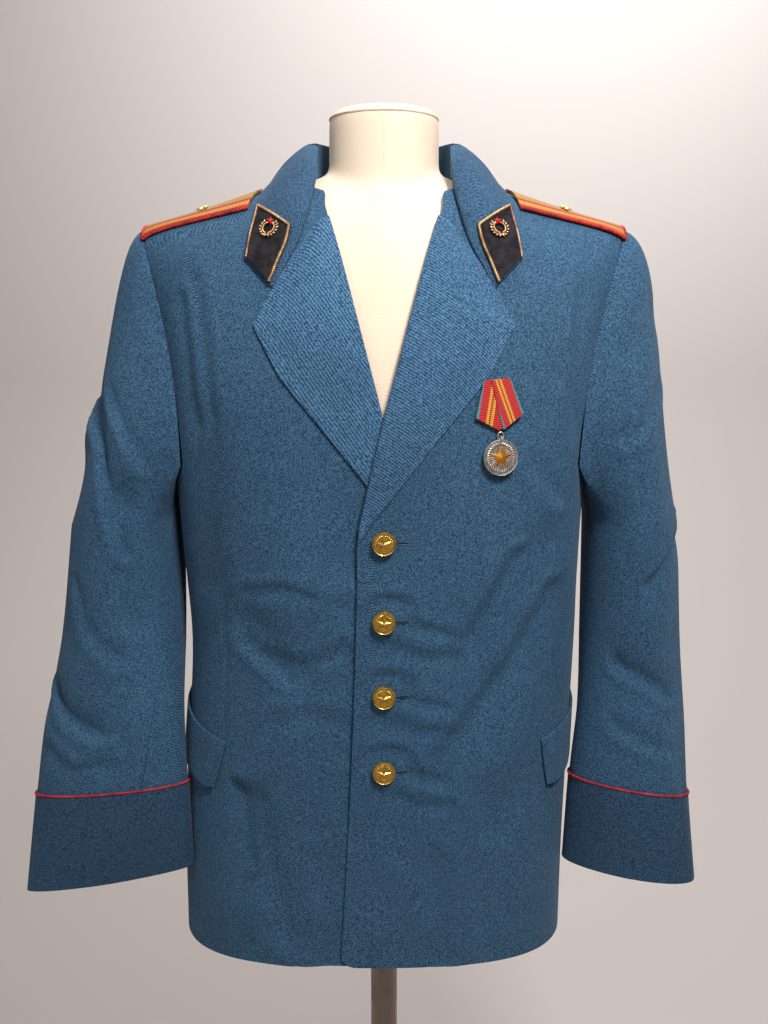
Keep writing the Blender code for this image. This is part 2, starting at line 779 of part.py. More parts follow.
def collar_stand(rows_per_step=2):
    """The band inside the leaf, from the neckline up to the crease."""
    last = len(COLLAR) - 1
    half = steps(STAND_FROM, last, (last - STAND_FROM) * rows_per_step + 1)
    indices = [(-1, i) for i in half] + [(1, i) for i in half[-2::-1]]
    grid = [
        [double(stand_point, side, i, down) for down in steps(0.0, 1.0, 3)]
        for side, i in indices
    ]
    return cloth_piece("collar_stand", [grid], material("cloth", CLOTH_COLOR, 0.9))


# ---- Sleeves ----


def armhole_half(side, front):
    """Points and normals of the armhole's edge, from shoulder tip to underarm."""
    phi = ARMHOLE_FRONT if front else ARMHOLE_BACK
    places = [(phi, level) for level in steps(2.0, 1.0, 25)]
    middle = (ARMHOLE_FRONT + ARMHOLE_BACK) / 2
    places += [(p, underarm_level(p)) for p in steps(phi, middle, 13)[1:]]
    points = [torso(side, *place) for place in places]
    return points, [torso_normal(side, *place) for place in places]


ARMHOLES = {}


def armhole(side, theta):
    """Point and normal of the armhole: theta is 0 at the shoulder tip, 90 in front."""
    if side not in ARMHOLES:
        ARMHOLES[side] = [armhole_half(side, front) for front in (True, False)]
    theta %= 360.0
    points, normals = ARMHOLES[side][theta > 180]
    share = (theta if theta <= 180 else 360 - theta) / 180
    left = share * sum((b - a).length for a, b in zip(points, points[1:]))
    for i in range(len(points) - 1):
        run = (points[i + 1] - points[i]).length
        if left <= run:
            t = left / run
            return points[i].lerp(points[i + 1], t), normals[i].lerp(normals[i + 1], t)
        left -= run
    return points[-1], normals[-1]


def ring_point(side, theta, z):
    """Point of the sleeve's tube on the ring whose centre is at height z."""
    row = {name: read(SLEEVES[side], name, z) for name in Ring._fields[1:]}
    angle = math.radians(theta)
    power = 2 / SLEEVE_POWER
    p = row["across"] * signed_power(math.cos(angle), power)
    q = row["deep"] * signed_power(math.sin(angle), power)
    turn = math.radians(row["turn"])
    tilt = math.radians(row["tilt"])
    out = p * math.cos(turn) - q * math.sin(turn)
    ahead = p * math.sin(turn) + q * math.cos(turn)
    lean = math.radians(10.0) * ease(1.125, 1.0, z)
    outward = Vector((side * math.cos(tilt), 0.0, -math.sin(tilt)))
    forward = Vector((0.0, -math.cos(lean), math.sin(lean)))
    centre = Vector((side * row["x"], row["y"], z))
    return centre + outward * out + forward * ahead


def arm_top():
    """Height of the first whole ring below the cap."""
    return SLEEVES[1][-1].z


def sleeve_base(side, theta, down):
    """Sleeve surface: down is 0 at the armhole, 1 at the first ring, 2 at the cuff."""
    top = arm_top()
    if down >= 1:
        return ring_point(side, theta, top + (down - 1) * (CUFF_PIPE_Z[side] - top))
    start = armhole(side, theta)[0] + Vector((side * SLEEVE_START, 0, 0))
    end = ring_point(side, theta, top)
    under = math.sin(math.radians(theta) / 2) ** 2
    ahead = -0.18 * math.sin(math.radians(theta))
    leave = Vector((side * (1 - 0.88 * under), ahead, -0.12 - 0.88 * under))
    first = start + leave.normalized() * (CAP_ROUND[side] * (1 - under) + 0.014 * under)
    handle = 0.115 - 0.101 * under
    lean_in = -side * CAP_LEAN[side] * max(math.cos(math.radians(theta)), 0.0)
    second = end + Vector((lean_in, 0.0, 1.0)) * handle
    t = down
    return (
        start * (1 - t) ** 3
        + first * (3 * t * (1 - t) ** 2)
        + second * (3 * t * t * (1 - t))
        + end * t**3
    )


def sleeve_fold_depth(side, theta, z):
    """How far the folds push a sleeve's surface in."""
    total = 0.0
    for fold in SLEEVE_FOLDS:
        if fold.side != side:
            continue
        arm = 0.00115  # metres along the sleeve's girth for each degree
        start = Vector((fold.angle_from * arm, fold.z_from))
        run = Vector((fold.angle_to * arm, fold.z_to)) - start
        here = Vector((theta * arm, z)) - start
        along = min(max(here.dot(run) / run.length_squared, 0.0), 1.0)
        away = (here - run * along).length
        total += fold.depth * math.exp(-((away / fold.width) ** 2))
    return total


def sleeve_point(side, theta, down, out=0.0):
    """Outer surface of the sleeve with its folds."""
    point = sleeve_base(side, theta, down)
    along = sleeve_base(side, theta + 2, down) - sleeve_base(side, theta - 2, down)
    low = max(down - 0.03, 0.0)
    fall = sleeve_base(side, theta, low + 0.06) - sleeve_base(side, theta, low)
    normal = side * along.cross(fall).normalized()
    from_top = 180 - abs(180 - theta % 360)
    butted = (1 - ease(90.0, 140.0, from_top)) * (1 - ease(0.0, 0.15, down))
    normal = normal.lerp(armhole(side, theta)[1], butted).normalized()
    push = out - sleeve_fold_depth(side, theta % 360, point.z) * ease(0.05, 0.3, down)
    return point + normal * push


CAP_ROWS = (0.0, 0.06, 0.16, 0.30, 0.46, 0.64, 0.82)


def sleeve_piece(side, top, columns, arm_rows=8):
    """The top sleeve, or the under sleeve, from the armhole to the cuff's seam."""
    downs = list(CAP_ROWS) + steps(1.0, 2.0, arm_rows)
    downs[-1] -= 0.001
    gap, near = (math.degrees(d / 0.055) for d in (SEAM / 2, BY_SEAM))
    grid = []
    for down in downs:
        z = arm_top() + min(down - 1, 1) * (arm_top() - CUFF_PIPE_Z[side]) * -1
        front = read(FRONT_SEAM, "angle", z if down >= 1 else 1.2)
        first, last = (HIND_SEAM - 360, front) if top else (front, HIND_SEAM)
        inside = steps(first + gap + near, last - gap - near, columns)
        thetas = [first + gap] + inside + [last - gap]
        grid.append([double(sleeve_point, side, theta, down) for theta in thetas])
    name = ("sleeve_top" if top else "sleeve_under") + ("_left" if side > 0 else "_right")
    return cloth_piece(name, [grid], material("cloth", CLOTH_COLOR, 0.9))


def cuff_point(side, theta, share, out=0.0):
    """Outer surface of the cuff, from its seam down to the sleeve's end."""
    top = CUFF_PIPE_Z[side]
    end = SLEEVES[side][0].z
    z = top + (end - top) * share
    point = ring_point(side, theta, z)
    centre = ring_point(side, theta + 180, z).lerp(point, 0.5)
    return point + (point - centre).normalized() * (CUFF_STANDS + out)


def cuff_piece(side, columns=28):
    """A cuff: a closed band one seam gap below the sleeve."""
    length = CUFF_PIPE_Z[side] - SLEEVES[side][0].z
    thetas = [360.0 * i / columns for i in range(columns)] + [0.0]
    shares = [2 * SEAM / length] + steps(0.25, 1.0, 4)
    grid = [[double(cuff_point, side, t, share) for t in thetas] for share in shares]
    name = "cuff_left" if side > 0 else "cuff_right"
    return cloth_piece(name, [grid], material("cloth", CLOTH_COLOR, 0.9))


# ---- What is sewn or pinned on ----


def flap_piece(side, columns=9):
    """A pocket flap that lies round the hip, on the front panel."""
    front = angle_at(FLAP_FRONT, FLAP_TOP, side)
    back = 90.0 + math.degrees(math.asin((FLAP_BACK / 0.12) ** (SECTION_POWER / 2)))
    grid = []
    for drop in steps(0.0, 1.0, 4):
        row = []
        for share in steps(0.0, 1.0, columns):
            slant = 5.0 * drop * (1 - share) + 2.0 * drop * share
            phi = front + (back - front) * share + slant
            corner = 0.004 * (ease(0.9, 1.0, share) + 1 - ease(0.0, 0.1, share))
            z = FLAP_TOP + FLAP_RISE * share - (FLAP_DEPTH - corner * (drop == 1.0)) * drop
            out = FLAP_WALL + 2 * LIE + FLAP_STANDS * drop
            row.append(double(cloth, side, phi, level_at(phi, z), out=out, wall=FLAP_WALL))
        grid.append(row)
    name = "flap_left" if side > 0 else "flap_right"
    return cloth_piece(name, [grid], material("cloth", CLOTH_COLOR, 0.9))


def button_piece(number, z):
    """A domed shank button on the closing's centre line."""
    phi, level = place_on_front(0.0, z)
    normal = torso_normal(1, phi, level)
    point = cloth(1, phi, level, 2 * LIE)
    r, h = BUTTON_R, BUTTON_HEIGHT
    profile = [
        (0.0, h), (0.34 * r, 0.97 * h), (0.62 * r, 0.86 * h), (0.84 * r, 0.66 * h),
        (0.88 * r, 0.52 * h), (0.95 * r, 0.56 * h), (r, 0.44 * h), (0.97 * r, 0.28 * h),
        (0.5 * r, 0.12 * h), (0.28 * r, 0.0), (0.0, 0.0),
    ]  # fmt: skip
    finish = material("gilt", GILT_COLOR, 0.3, 1.0)
    return turned(f"button_{number}", profile, finish, facing(point, normal))


def shoulder_board(side, columns=9, rows=5):
    """A stiff board sewn on along the shoulder seam."""
    grid = [
        [
            double(board_surface, side, along, across, out=BOARD_WALL, wall=BOARD_WALL)
            for along in steps(0.0, 1.0, columns)
        ]
        for across in steps(0.0, 1.0, rows)
    ]
    name = "board_left" if side > 0 else "board_right"
    return cloth_piece(name, [grid], material("galloon", BOARD_COLOR, 0.5))


def board_surface(side, along, across, out=0.0):
    """Point of a shoulder board: along from the neck outwards, across front to back."""
    inner = BOARD_INNER - BOARD_SLANT * across
    x = inner + (BOARD_OUTER - inner) * along
    front = BOARD_FRONT + BOARD_FORWARD[0] * along
    back = BOARD_BACK + BOARD_FORWARD[1] * along
    y = front + (back - front) * across
    x0 = min(x * ARM_X / TIP_X, ARM_X)
    base = section_point(1, angle_at(x0 + BODY[-1].sway, ARMPIT), ARMPIT)
    turn = math.acos(min(abs(y / base.y), 0.95) ** (1 / squareness(x0)))
    top = shoulder_height(x)
    drop = (top - ARMPIT) * (1 - math.sin(turn) ** RISE_POWER)
    return Vector((side * x, y, top + BOARD_LIES - drop + out))


def board_normal(side, along, across):
    """Outward normal of a board."""
    a = board_surface(side, along + 0.05, across) - board_surface(side, along - 0.05, across)
    b = board_surface(side, along, across + 0.1) - board_surface(side, along, across - 0.1)
    normal = a.cross(b).normalized()
    return normal if normal.z > 0 else -normal


def board_star(side):
    """The small star in the middle of a board."""
    normal = board_normal(side, *STAR_AT)
    point = board_surface(side, *STAR_AT, BOARD_WALL) + normal * (LIE + STAR_LIES)
    place = facing(point, normal, Vector((side, 0, 0)))
    name = "board_star_left" if side > 0 else "board_star_right"
    finish = material("gilt", GILT_COLOR, 0.3, 1.0)
    return plate(name, star(STAR_R, STAR_R * 0.45), 0.0016, finish, place)


def tab_surface(side, along, across, out):
    """Point of a collar tab: along from the collar's end up, across from the crease."""
    inner = TAB_MARGIN + TAB_TAPER * along
    place = inner + (1.0 - TAB_MARGIN - inner) * across
    return leaf_point(side, TAB_START + (TAB_SPAN + TAB_SLANT * across) * along, place, out)


def collar_tab(side):
    """The velvet tab on the collar's front end."""
    out = TAB_WALL + TAB_LIES
    grid = [
        [
            double(tab_surface, side, along, across, out=out, wall=TAB_WALL)
            for across in steps(0.0, 1.0, 4)
        ]
        for along in steps(0.0, 1.0, 8)
    ]
    name = "tab_left" if side > 0 else "tab_right"
    return cloth_piece(name, [grid], material("velvet", TAB_COLOR, 0.9))


def tab_emblem(side):
    """The round wreath-like pin on a tab."""
    at = EMBLEM_AT
    point = tab_surface(side, at, 0.5, TAB_WALL + TAB_LIES)
    up = tab_surface(side, at + 0.1, 0.5, 0) - tab_surface(side, at - 0.1, 0.5, 0)
    across = tab_surface(side, at, 0.7, 0) - tab_surface(side, at, 0.3, 0)
    normal = up.cross(across).normalized()
    normal = normal if normal.z > 0 else -normal
    place = facing(point + normal * 0.0016, normal, up)
    r, h = EMBLEM_R, EMBLEM_HEIGHT
    profile = [
        (0, h * 0.8), (0.45 * r, h * 0.8), (0.75 * r, h), (r, 0.5 * h), (0.95 * r, 0), (0, 0),
    ]  # fmt: skip
    name = "tab_emblem_left" if side > 0 else "tab_emblem_right"
    return turned(name, profile, material("gilt", GILT_COLOR, 0.3, 1.0), place, 14)


def medal_place():
    """Matrix of the medal: Z out of the chest, Y up it."""
    phi, level = place_on_front(MEDAL_X, MEDAL_Z)
    normal = torso_normal(1, phi, level)
    point = cloth(1, phi, level, 0.0037)
    return facing(point, normal)


def medal_bar():
    """The pentagonal ribbon bar, its point hanging down."""
    half, top = RIBBON_WIDTH / 2, RIBBON_HEIGHT / 2
    shoulder, wide = -top + 0.0135, half + RIBBON_FLARE
    corners = [(-half, top), (-wide, shoulder), (0, -top), (wide, shoulder), (half, top)]
    lean, point = Matrix.Rotation(math.radians(RIBBON_TILT), 2), Vector((0.0, -top))
    outline = [tuple(point + lean @ (Vector(corner) - point)) for corner in corners]
    finish = material("ribbon", RIBBON_COLOR, 0.8)
    return plate("medal_bar", outline, MEDAL_WALL, finish, medal_place())


def medal_pendant():
    """The disc with its eye and link ring, hanging from the bar's point."""
    top = RIBBON_HEIGHT / 2
    ring_r = 0.0034
    outline = []
    centre = -top - 0.0008 - 2 * ring_r - MEDAL_DISC_R
    neck = math.asin(0.0024 / MEDAL_DISC_R)
    for i in range(25):
        turn = math.pi / 2 + neck + (2 * math.pi - 2 * neck) * i / 24
        outline.append((MEDAL_DISC_R * math.cos(turn), centre + MEDAL_DISC_R * math.sin(turn)))
    ring_centre = -top - 0.0008 - ring_r
    for i in range(9):
        turn = -math.pi / 2 + 0.8 + (2 * math.pi - 1.6) * i / 8
        outline.append((ring_r * math.cos(turn), ring_centre + ring_r * math.sin(turn)))
    hole = circle(ring_r * 0.55, 8, 0.0, ring_centre)
    finish = material("silver", DISC_COLOR, 0.35, 1.0)
    return plate("medal", outline, MEDAL_WALL, finish, medal_place(), holes=[hole])


# ---- Dress form and stand ----

INSET_LEVELS = (0.0, 0.35, 0.62, 0.85, 1.0, 1.35, 1.6, 1.8, 2.0)
INSETS = (0.020, 0.021, 0.022, 0.014, 0.010, 0.0085, 0.0075, 0.0070, 0.0060)


def form_point(side, phi, level):
    """The form's surface, set in from the jacket's."""
    inset = curve(list(INSET_LEVELS), list(INSETS), level)
    return torso(side, phi, level) - torso_normal(side, phi, level) * inset


def form_column(side, phi, count_low=9):
    """Points of the form up one column, from its foot."""
    foot = level_at(phi, FORM_FOOT)
    armhole_side = ARMHOLE_FRONT < phi < ARMHOLE_BACK
    top = underarm_level(phi) if armhole_side else 1.985
    levels = steps(foot, min(top, 1.0), count_low)
    if top > 1:
        levels += [1 + rise * (top - 1) for rise in RISES[1:] + (1.0,)]
    column = [form_point(side, phi, level) for level in levels]
    for point in column:
        point.z = max(point.z, FORM_FOOT)
    column[0].z = FORM_FOOT
    return column


def form_loop(count_front=5, count_side=4, count_back=5):
    """The angles round one half of the form."""
    front = steps(0.0, ARMHOLE_FRONT, count_front)
    sides = steps(ARMHOLE_FRONT, ARMHOLE_BACK, count_side + 1)
    back = steps(ARMHOLE_BACK, 180.0, count_back)
    return front, sides, back


def form_patches(side):
    """Grids of one half of the form: front, side, back and the strip along the shoulder."""
    low_rows = 9
    front, sides, back = form_loop()
    patches = []
    for phis in (front, sides, back):
        columns = [form_column(side, phi, low_rows) for phi in phis]
        rows = low_rows if phis is sides else len(columns[0])
        patches.append([[column[i] for column in columns] for i in range(rows)])
    patches.append([patches[0][-1], patches[2][-1][::-1]])
    return patches


def dress_form():
    """The limbless torso with flat arm ends; its neck is joined on afterwards."""
    shape = bmesh.new()
    known = {}
    for patch in form_patches(-1) + form_patches(1):
        keys = [[tuple(round(v, 5) for v in point) for point in row] for row in patch]
        for low, high in zip(keys, keys[1:]):
            for i in range(len(low) - 1):
                corners = list(dict.fromkeys((low[i], low[i + 1], high[i + 1], high[i])))
                for key in corners:
                    if key not in known:
                        known[key] = shape.verts.new(key)
                if len(corners) > 2:
                    shape.faces.new([known[key] for key in corners])
    open_edges = [edge for edge in shape.edges if edge.is_boundary]
    bmesh.ops.holes_fill(shape, edges=open_edges, sides=0)
    bmesh.ops.triangulate(shape, faces=shape.faces[:])
    mesh = finished(shape, "dress_form")
    return add_object("dress_form", mesh, material("form", FORM_COLOR, 0.9))


def neck_cutter():
    """The form's neck, joined to the torso."""
    profile = [
        (0.0, 1.522), (0.047, 1.521), (0.0525, 1.515), (0.053, 1.49), (0.053, 1.462),
        (0.054, 1.44), (0.058, 1.42), (0.066, 1.395), (0.070, 1.36), (0.0, 1.36),
    ]  # fmt: skip
    place = Matrix.Translation((0, FORM_NECK_Y, 0))
    neck = turned("form_neck", profile, material("form", FORM_COLOR, 0.9), place, 28)
    neck.hide_render = True
    neck.display_type = "WIRE"
    return neck


def stand_pieces():
    """The pole and its round base."""
    steel = material("steel", STEEL_COLOR, 0.4, 1.0)
    foot = BASE_HEIGHT + SEAM
    top = FORM_FOOT - SEAM
    pole = [(0, top), (POLE_R - 0.001, top), (POLE_R, top - 0.001), (POLE_R, foot), (0, foot)]
    turned("stand_pole", pole, steel, Matrix.Identity(4), 24)
    r, h = BASE_R, BASE_HEIGHT
    base = [(0, h), (0.10, h), (0.97 * r, 0.6 * h), (r, 0.35 * h), (r, 0.0), (0, 0)]
    turned("stand_base", base, steel, Matrix.Identity(4), 48)


# ---- The whole object ----

COLLECTION = "uniform_jacket"


def clear_scene():
    """Removes every object and sets up the collections."""
    for old in list(bpy.data.objects):
        bpy.data.objects.remove(old)
    for name in (COLLECTION, "cutters"):
        made = bpy.data.collections.new(name)
        bpy.context.scene.collection.children.link(made)


def main():
    """Builds the jacket, then the form and the stand."""
    clear_scene()
    for side in (-1, 1):
        front_panel(side)
        back_panel(side)
        lapel_piece(side)
        sleeve_piece(side, True, 16)
        sleeve_piece(side, False, 7)
        cuff_piece(side)
        flap_piece(side)
        shoulder_board(side)
        board_star(side)
        collar_tab(side)
        tab_emblem(side)
    collar_leaf()
    collar_stand()
    for number, z in enumerate(BUTTON_Z, 1):
        button_piece(number, z)
    medal_bar()
    medal_pendant()
    form = dress_form()
    neck = neck_cutter()
    join = form.modifiers.new("neck", "BOOLEAN")
    join.operation = "UNION"
    join.object = neck
    stand_pieces()


main()
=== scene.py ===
"""Looks of an officer's dress jacket worn by a limbless dress form on a pole stand.

Metres, +Z up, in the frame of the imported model: the jacket's front faces -Y and
the wearer's left is at +X. Each cloth piece is a closed thin wall on the form of
its solid, worked out from the same tables, with the finer creases laid in.
"""

import logging
import math
from dataclasses import dataclass
from enum import Enum

import bmesh
import bpy
import numpy as np
from mathutils import Matrix, Vector


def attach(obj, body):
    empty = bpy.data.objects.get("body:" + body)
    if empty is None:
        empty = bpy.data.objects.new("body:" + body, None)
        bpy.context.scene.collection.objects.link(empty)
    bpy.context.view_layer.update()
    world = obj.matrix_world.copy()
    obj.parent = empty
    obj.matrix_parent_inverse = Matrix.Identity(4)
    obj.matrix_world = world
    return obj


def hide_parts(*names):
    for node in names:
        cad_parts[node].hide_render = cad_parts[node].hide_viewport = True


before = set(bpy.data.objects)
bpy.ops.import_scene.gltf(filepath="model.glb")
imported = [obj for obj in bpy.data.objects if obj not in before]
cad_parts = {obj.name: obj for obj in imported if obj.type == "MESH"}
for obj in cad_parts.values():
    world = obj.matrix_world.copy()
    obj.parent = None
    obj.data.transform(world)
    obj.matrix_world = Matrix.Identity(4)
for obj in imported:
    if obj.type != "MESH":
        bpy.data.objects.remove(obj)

log = logging.getLogger("jacket")

Array = np.ndarray
Color = tuple[float, float, float]
Settings = dict[str, object]

BODY = "jacket_on_form"
PENDANT = "medal_pendant"
UV_NAME = "metres"
WALL = 0.0020  # cloth with its interlining
SEAM = 0.0004  # gap between pieces that meet
LIE = 0.0004  # gap under what lies on a panel
SIDES = (-1, 1)  # the wearer's right and left, as signs of X
SHARP = 48  # degrees from which an edge of a made mesh is shaded sharp
MAIN_FOLD = 0.015  # folds wider than this are in the solids' form too
AROUND = 0.00115  # metres round a sleeve for each degree
CREASE_TOP = 1.9  # level from which no crease is laid
ON_CLOTH = 0.0001  # where a line of stitches runs, over the surface
EDGE_STITCH = {"pitch": 0.0042, "length": 0.0020, "thickness": 0.00024}

# How far the right half lies behind the left: its depth below and above the top
# button, where it grows across, and the heights where it changes and fades out.
UNDER_BELOW, UNDER_ABOVE = 0.0032, 0.0062
UNDER_ACROSS = (-0.100, -0.034)
UNDER_WAIST = (1.075, 1.105)
UNDER_TOP = (1.238, 1.340)


class Side(Enum):
    """The wearer's two sides, as signs of X."""

    RIGHT = -1
    LEFT = 1

    @property
    def word(self) -> str:
        """The side's name as node names end."""
        return self.name.lower()


def sided(kind: str, side: int) -> str:
    """The name of a piece on one side, as node names end."""
    return f"{kind}_{Side(side).word}"


# ---- Sums that the surfaces share ----


def curve(keys: Array, values: Array, at: Array) -> Array:
    """Cubic through a table's values, level with the slope between neighbours.

    Args:
        keys: Rising places of the table's rows.
        values: The rows' values.
        at: Places to read.

    Returns:
        The value at each place.
    """
    keys, values = np.asarray(keys, float), np.asarray(values, float)
    at = np.clip(at, keys[0], keys[-1])
    i = np.clip(np.searchsorted(keys, at, side="right") - 1, 0, len(keys) - 2)
    low = np.maximum(np.arange(len(keys)) - 1, 0)
    high = np.minimum(np.arange(len(keys)) + 1, len(keys) - 1)
    slopes = (values[high] - values[low]) / (keys[high] - keys[low])
    span = keys[i + 1] - keys[i]
    t = (at - keys[i]) / span
    return (
        values[i] * (1 + 2 * t) * (1 - t) ** 2
        + slopes[i] * span * t * (1 - t) ** 2
        + values[i + 1] * t * t * (3 - 2 * t)
        + slopes[i + 1] * span * t * t * (t - 1)
    )


def ease(low: float, high: float, at: Array) -> Array:
    """Smooth step from 0 at low to 1 at high."""
    t = np.clip((np.asarray(at, float) - low) / (high - low), 0.0, 1.0)
    return t * t * (3 - 2 * t)


def signed_power(value: Array, power: float) -> Array:
    """Size of the value to a power, with the value's sign."""
    return np.sign(value) * np.abs(value) ** power


def stacked(x: Array, y: Array, z: Array) -> Array:
    """Points from their coordinates, which may be of different shapes."""
    return np.stack(np.broadcast_arrays(x, y, z), axis=-1).astype(float)


def unit(vectors: Array) -> Array:
    """Vectors scaled to length 1."""
    return vectors / np.maximum(np.linalg.norm(vectors, axis=-1, keepdims=True), 1e-12)


FOLD_GAIN = 1.3  # how much deeper every fold lies than its table says


@dataclass(frozen=True)
class Crease:
    """A fold along a line; lip raises the cloth beside it, left of the line's run."""

    path: tuple[tuple[float, float], ...]
    width: float
    depth: float
    lip: float = 0.0

    def push(self, a: Array, b: Array) -> Array:
        """How far the fold pushes the cloth in.

        Args:
            a: First coordinate of the cloth's points.
            b: Second coordinate of the cloth's points.

        Returns:
            The depth at each point.
        """
        near = np.full(np.shape(a), 9.0)
        beside = np.zeros(np.shape(a))
        for (a0, b0), (a1, b1) in zip(self.path, self.path[1:]):
            ra, rb = a1 - a0, b1 - b0
            t = np.clip(((a - a0) * ra + (b - b0) * rb) / (ra * ra + rb * rb), 0, 1)
            da, db = a - a0 - ra * t, b - b0 - rb * t
            away = np.hypot(da, db)
            closer = away < near
            near = np.where(closer, away, near)
            beside = np.where(closer, away * np.sign(ra * db - rb * da), beside)
        trough = np.exp(-((near / self.width) ** 2))
        ridge = np.exp(-(((beside - 1.8 * self.width) / (1.1 * self.width)) ** 2))
        fade = np.exp(-((np.maximum(near - 2 * self.width, 0) / self.width) ** 2))
        return FOLD_GAIN * self.depth * (trough - self.lip * ridge * fade)


# ---- The torso that the cloth lies on ----


@dataclass(frozen=True)
class Torso:
    """The body's surface: phi runs round from the front, level up from the hem."""

    armpit: float = 1.19
    hem_front: float = 0.688
    hem_side: float = 0.675
    power: float = 2.5
    z: tuple[float, ...] = (0.675, 0.780, 0.880, 1.000, 1.100, 1.190)
    half: tuple[float, ...] = (0.206, 0.205, 0.203, 0.200, 0.203, 0.207)
    front: tuple[float, ...] = (0.127, 0.126, 0.124, 0.122, 0.127, 0.130)
    back: tuple[float, ...] = (0.124, 0.126, 0.120, 0.107, 0.110, 0.117)
    sway: tuple[float, ...] = (-0.012, -0.011, -0.007, -0.001, -0.003, -0.004)
    arm_x: float = 0.190
    tip_x: float = 0.2290
    neck_x: float = 0.078
    neck_z: float = 1.4615
    fall: float = 0.335
    rise_power: float = 0.9
    scoop: float = 0.045
    square: float = 0.5

    def section(self, side: int, phi: Array, z: Array) -> Array:
        """Points of the body's section at height z.

        Args:
            side: -1 for the wearer's right, 1 for the left.
            phi: Degrees round the body from the front.
            z: Heights.

        Returns:
            The points.
        """
        angle = np.radians(phi)
        across = signed_power(np.sin(angle), 2 / self.power)
        ahead = signed_power(np.cos(angle), 2 / self.power)
        deep = np.where(ahead >= 0, curve(self.z, self.front, z), curve(self.z, self.back, z))
        x = curve(self.z, self.sway, z) + side * curve(self.z, self.half, z) * across
        return stacked(x, -deep * ahead, z)

    def hem(self, phi: Array) -> Array:
        """Height of the hem at phi."""
        across = np.sin(np.radians(np.minimum(np.abs(phi), 90.0)))
        return self.hem_front + (self.hem_side - self.hem_front) * across**2

    def shoulder(self, x: Array) -> Array:
        """Height of the shoulder line at a distance x from the centre."""
        share = np.clip((x - self.neck_x) / (self.tip_x - self.neck_x), 0.0, 1.0)
        return self.neck_z - self.fall * (x - self.neck_x) - 0.003 * np.sin(np.pi * share)

    def squareness(self, x0: Array) -> Array:
        """Exponent of the arch from chest to shoulder."""
        return 1.0 - self.square * (x0 / self.arm_x) ** 2

    def reach(self, phi: Array) -> Array:
        """Half-width of the armpit's section at phi."""
        return np.abs(self.half[-1] * signed_power(np.sin(np.radians(phi)), 2 / self.power))

    def spread(self, rise: Array) -> Array:
        """Widening from the armpit to the shoulder line."""
        return 1 + (self.tip_x / self.arm_x - 1) * rise - self.scoop * np.sin(np.pi * rise)

    def point(self, side: int, phi: Array, level: Array) -> Array:
        """Points of the surface.

        Args:
            side: -1 or 1.
            phi: Degrees round from the front.
            level: 0 at the hem, 1 at the armpit, 2 at the shoulder line.

        Returns:
            One point for each pair of phi and level.
        """
        phi, level = np.broadcast_arrays(np.asarray(phi, float), np.asarray(level, float))
        hem = self.hem(phi)
        low = self.section(side, phi, hem + np.minimum(level, 1.0) * (self.armpit - hem))
        base = self.section(side, phi, np.full(phi.shape, self.armpit))
        turn = np.maximum(level - 1, 0.0) * np.pi / 2
        rise = np.maximum(np.sin(turn), 0.0) ** self.rise_power
        x0 = self.reach(phi)
        top = self.shoulder(x0 * self.tip_x / self.arm_x)
        ahead = np.maximum(np.cos(turn), 0.0) ** self.squareness(x0)
        high = stacked(
            base[..., 0] * self.spread(rise) - self.sway[-1] * rise,
            base[..., 1] * ahead,
            self.armpit + (top - self.armpit) * rise,
        )
        return np.where((level <= 1)[..., None], low, high)

    def normal(self, side: int, phi: Array, level: Array) -> Array:
        """Outward normals of the surface.

        Args:
            side: -1 for the wearer's right, 1 for the left.
            phi: Degrees round the body from the front.
            level: 0 at the hem, 1 at the armpit, 2 at the shoulder line.

        Returns:
            Unit vectors.
        """
        high = np.minimum(np.asarray(level, float) + 0.02, 1.995)
        around = self.point(side, phi + 1.0, level) - self.point(side, phi - 1.0, level)
        up = self.point(side, phi, high) - self.point(side, phi, high - 0.04)
        return side * unit(np.cross(around, up))

    def level_at(self, phi: Array, z: Array) -> Array:
        """Level of a height below the armpit."""
        hem = self.hem(phi)
        return (z - hem) / (self.armpit - hem)

    def level_over(self, phi: Array, y: Array) -> Array:
        """Level above the armpit where the surface is at depth y.

        Args:
            phi: Degrees round the body from the front.
            y: Depth to reach.

        Returns:
            The levels.
        """
        base = self.section(1, phi, np.full(np.shape(phi), self.armpit))
        share = np.minimum(np.abs(y / base[..., 1]), 1.0)
        return 1 + np.arccos(share ** (1 / self.squareness(self.reach(phi)))) * 2 / np.pi

    def angle_at(self, x: Array, z: Array, side: int = 1) -> Array:
        """phi on the front at a sideways place, below the armpit."""
        share = (x - side * curve(self.z, self.sway, z)) / curve(self.z, self.half, z)
        return np.degrees(np.arcsin(signed_power(np.clip(share, -1, 1), self.power / 2)))

    def on_front(self, x: Array, z: Array, side: int = 1) -> tuple[Array, Array]:
        """phi and level of the front's point at (side * x, z).

        Args:
            x: Distances from the centre, towards the side.
            z: Heights.
            side: -1 for the wearer's right, 1 for the left.

        Returns:
            phi and level.
        """
        x, z = np.broadcast_arrays(np.asarray(x, float), np.asarray(z, float))
        phi_low = self.angle_at(x, z, side)
        rise = np.full(x.shape, 0.5)
        for _ in range(30):
            x0 = (x + side * self.sway[-1] * rise) / self.spread(rise)
            top = self.shoulder(np.abs(x0 - side * self.sway[-1]) * self.tip_x / self.arm_x)
            rise = np.clip((z - self.armpit) / (top - self.armpit), 0.0, 0.9999)
        turn = np.arcsin(rise ** (1 / self.rise_power))
        phi_high = self.angle_at(x0, np.full(x.shape, self.armpit), side)
        below = z <= self.armpit
        phi = np.where(below, phi_low, phi_high)
        return phi, np.where(below, self.level_at(phi_low, z), 1 + turn * 2 / np.pi)

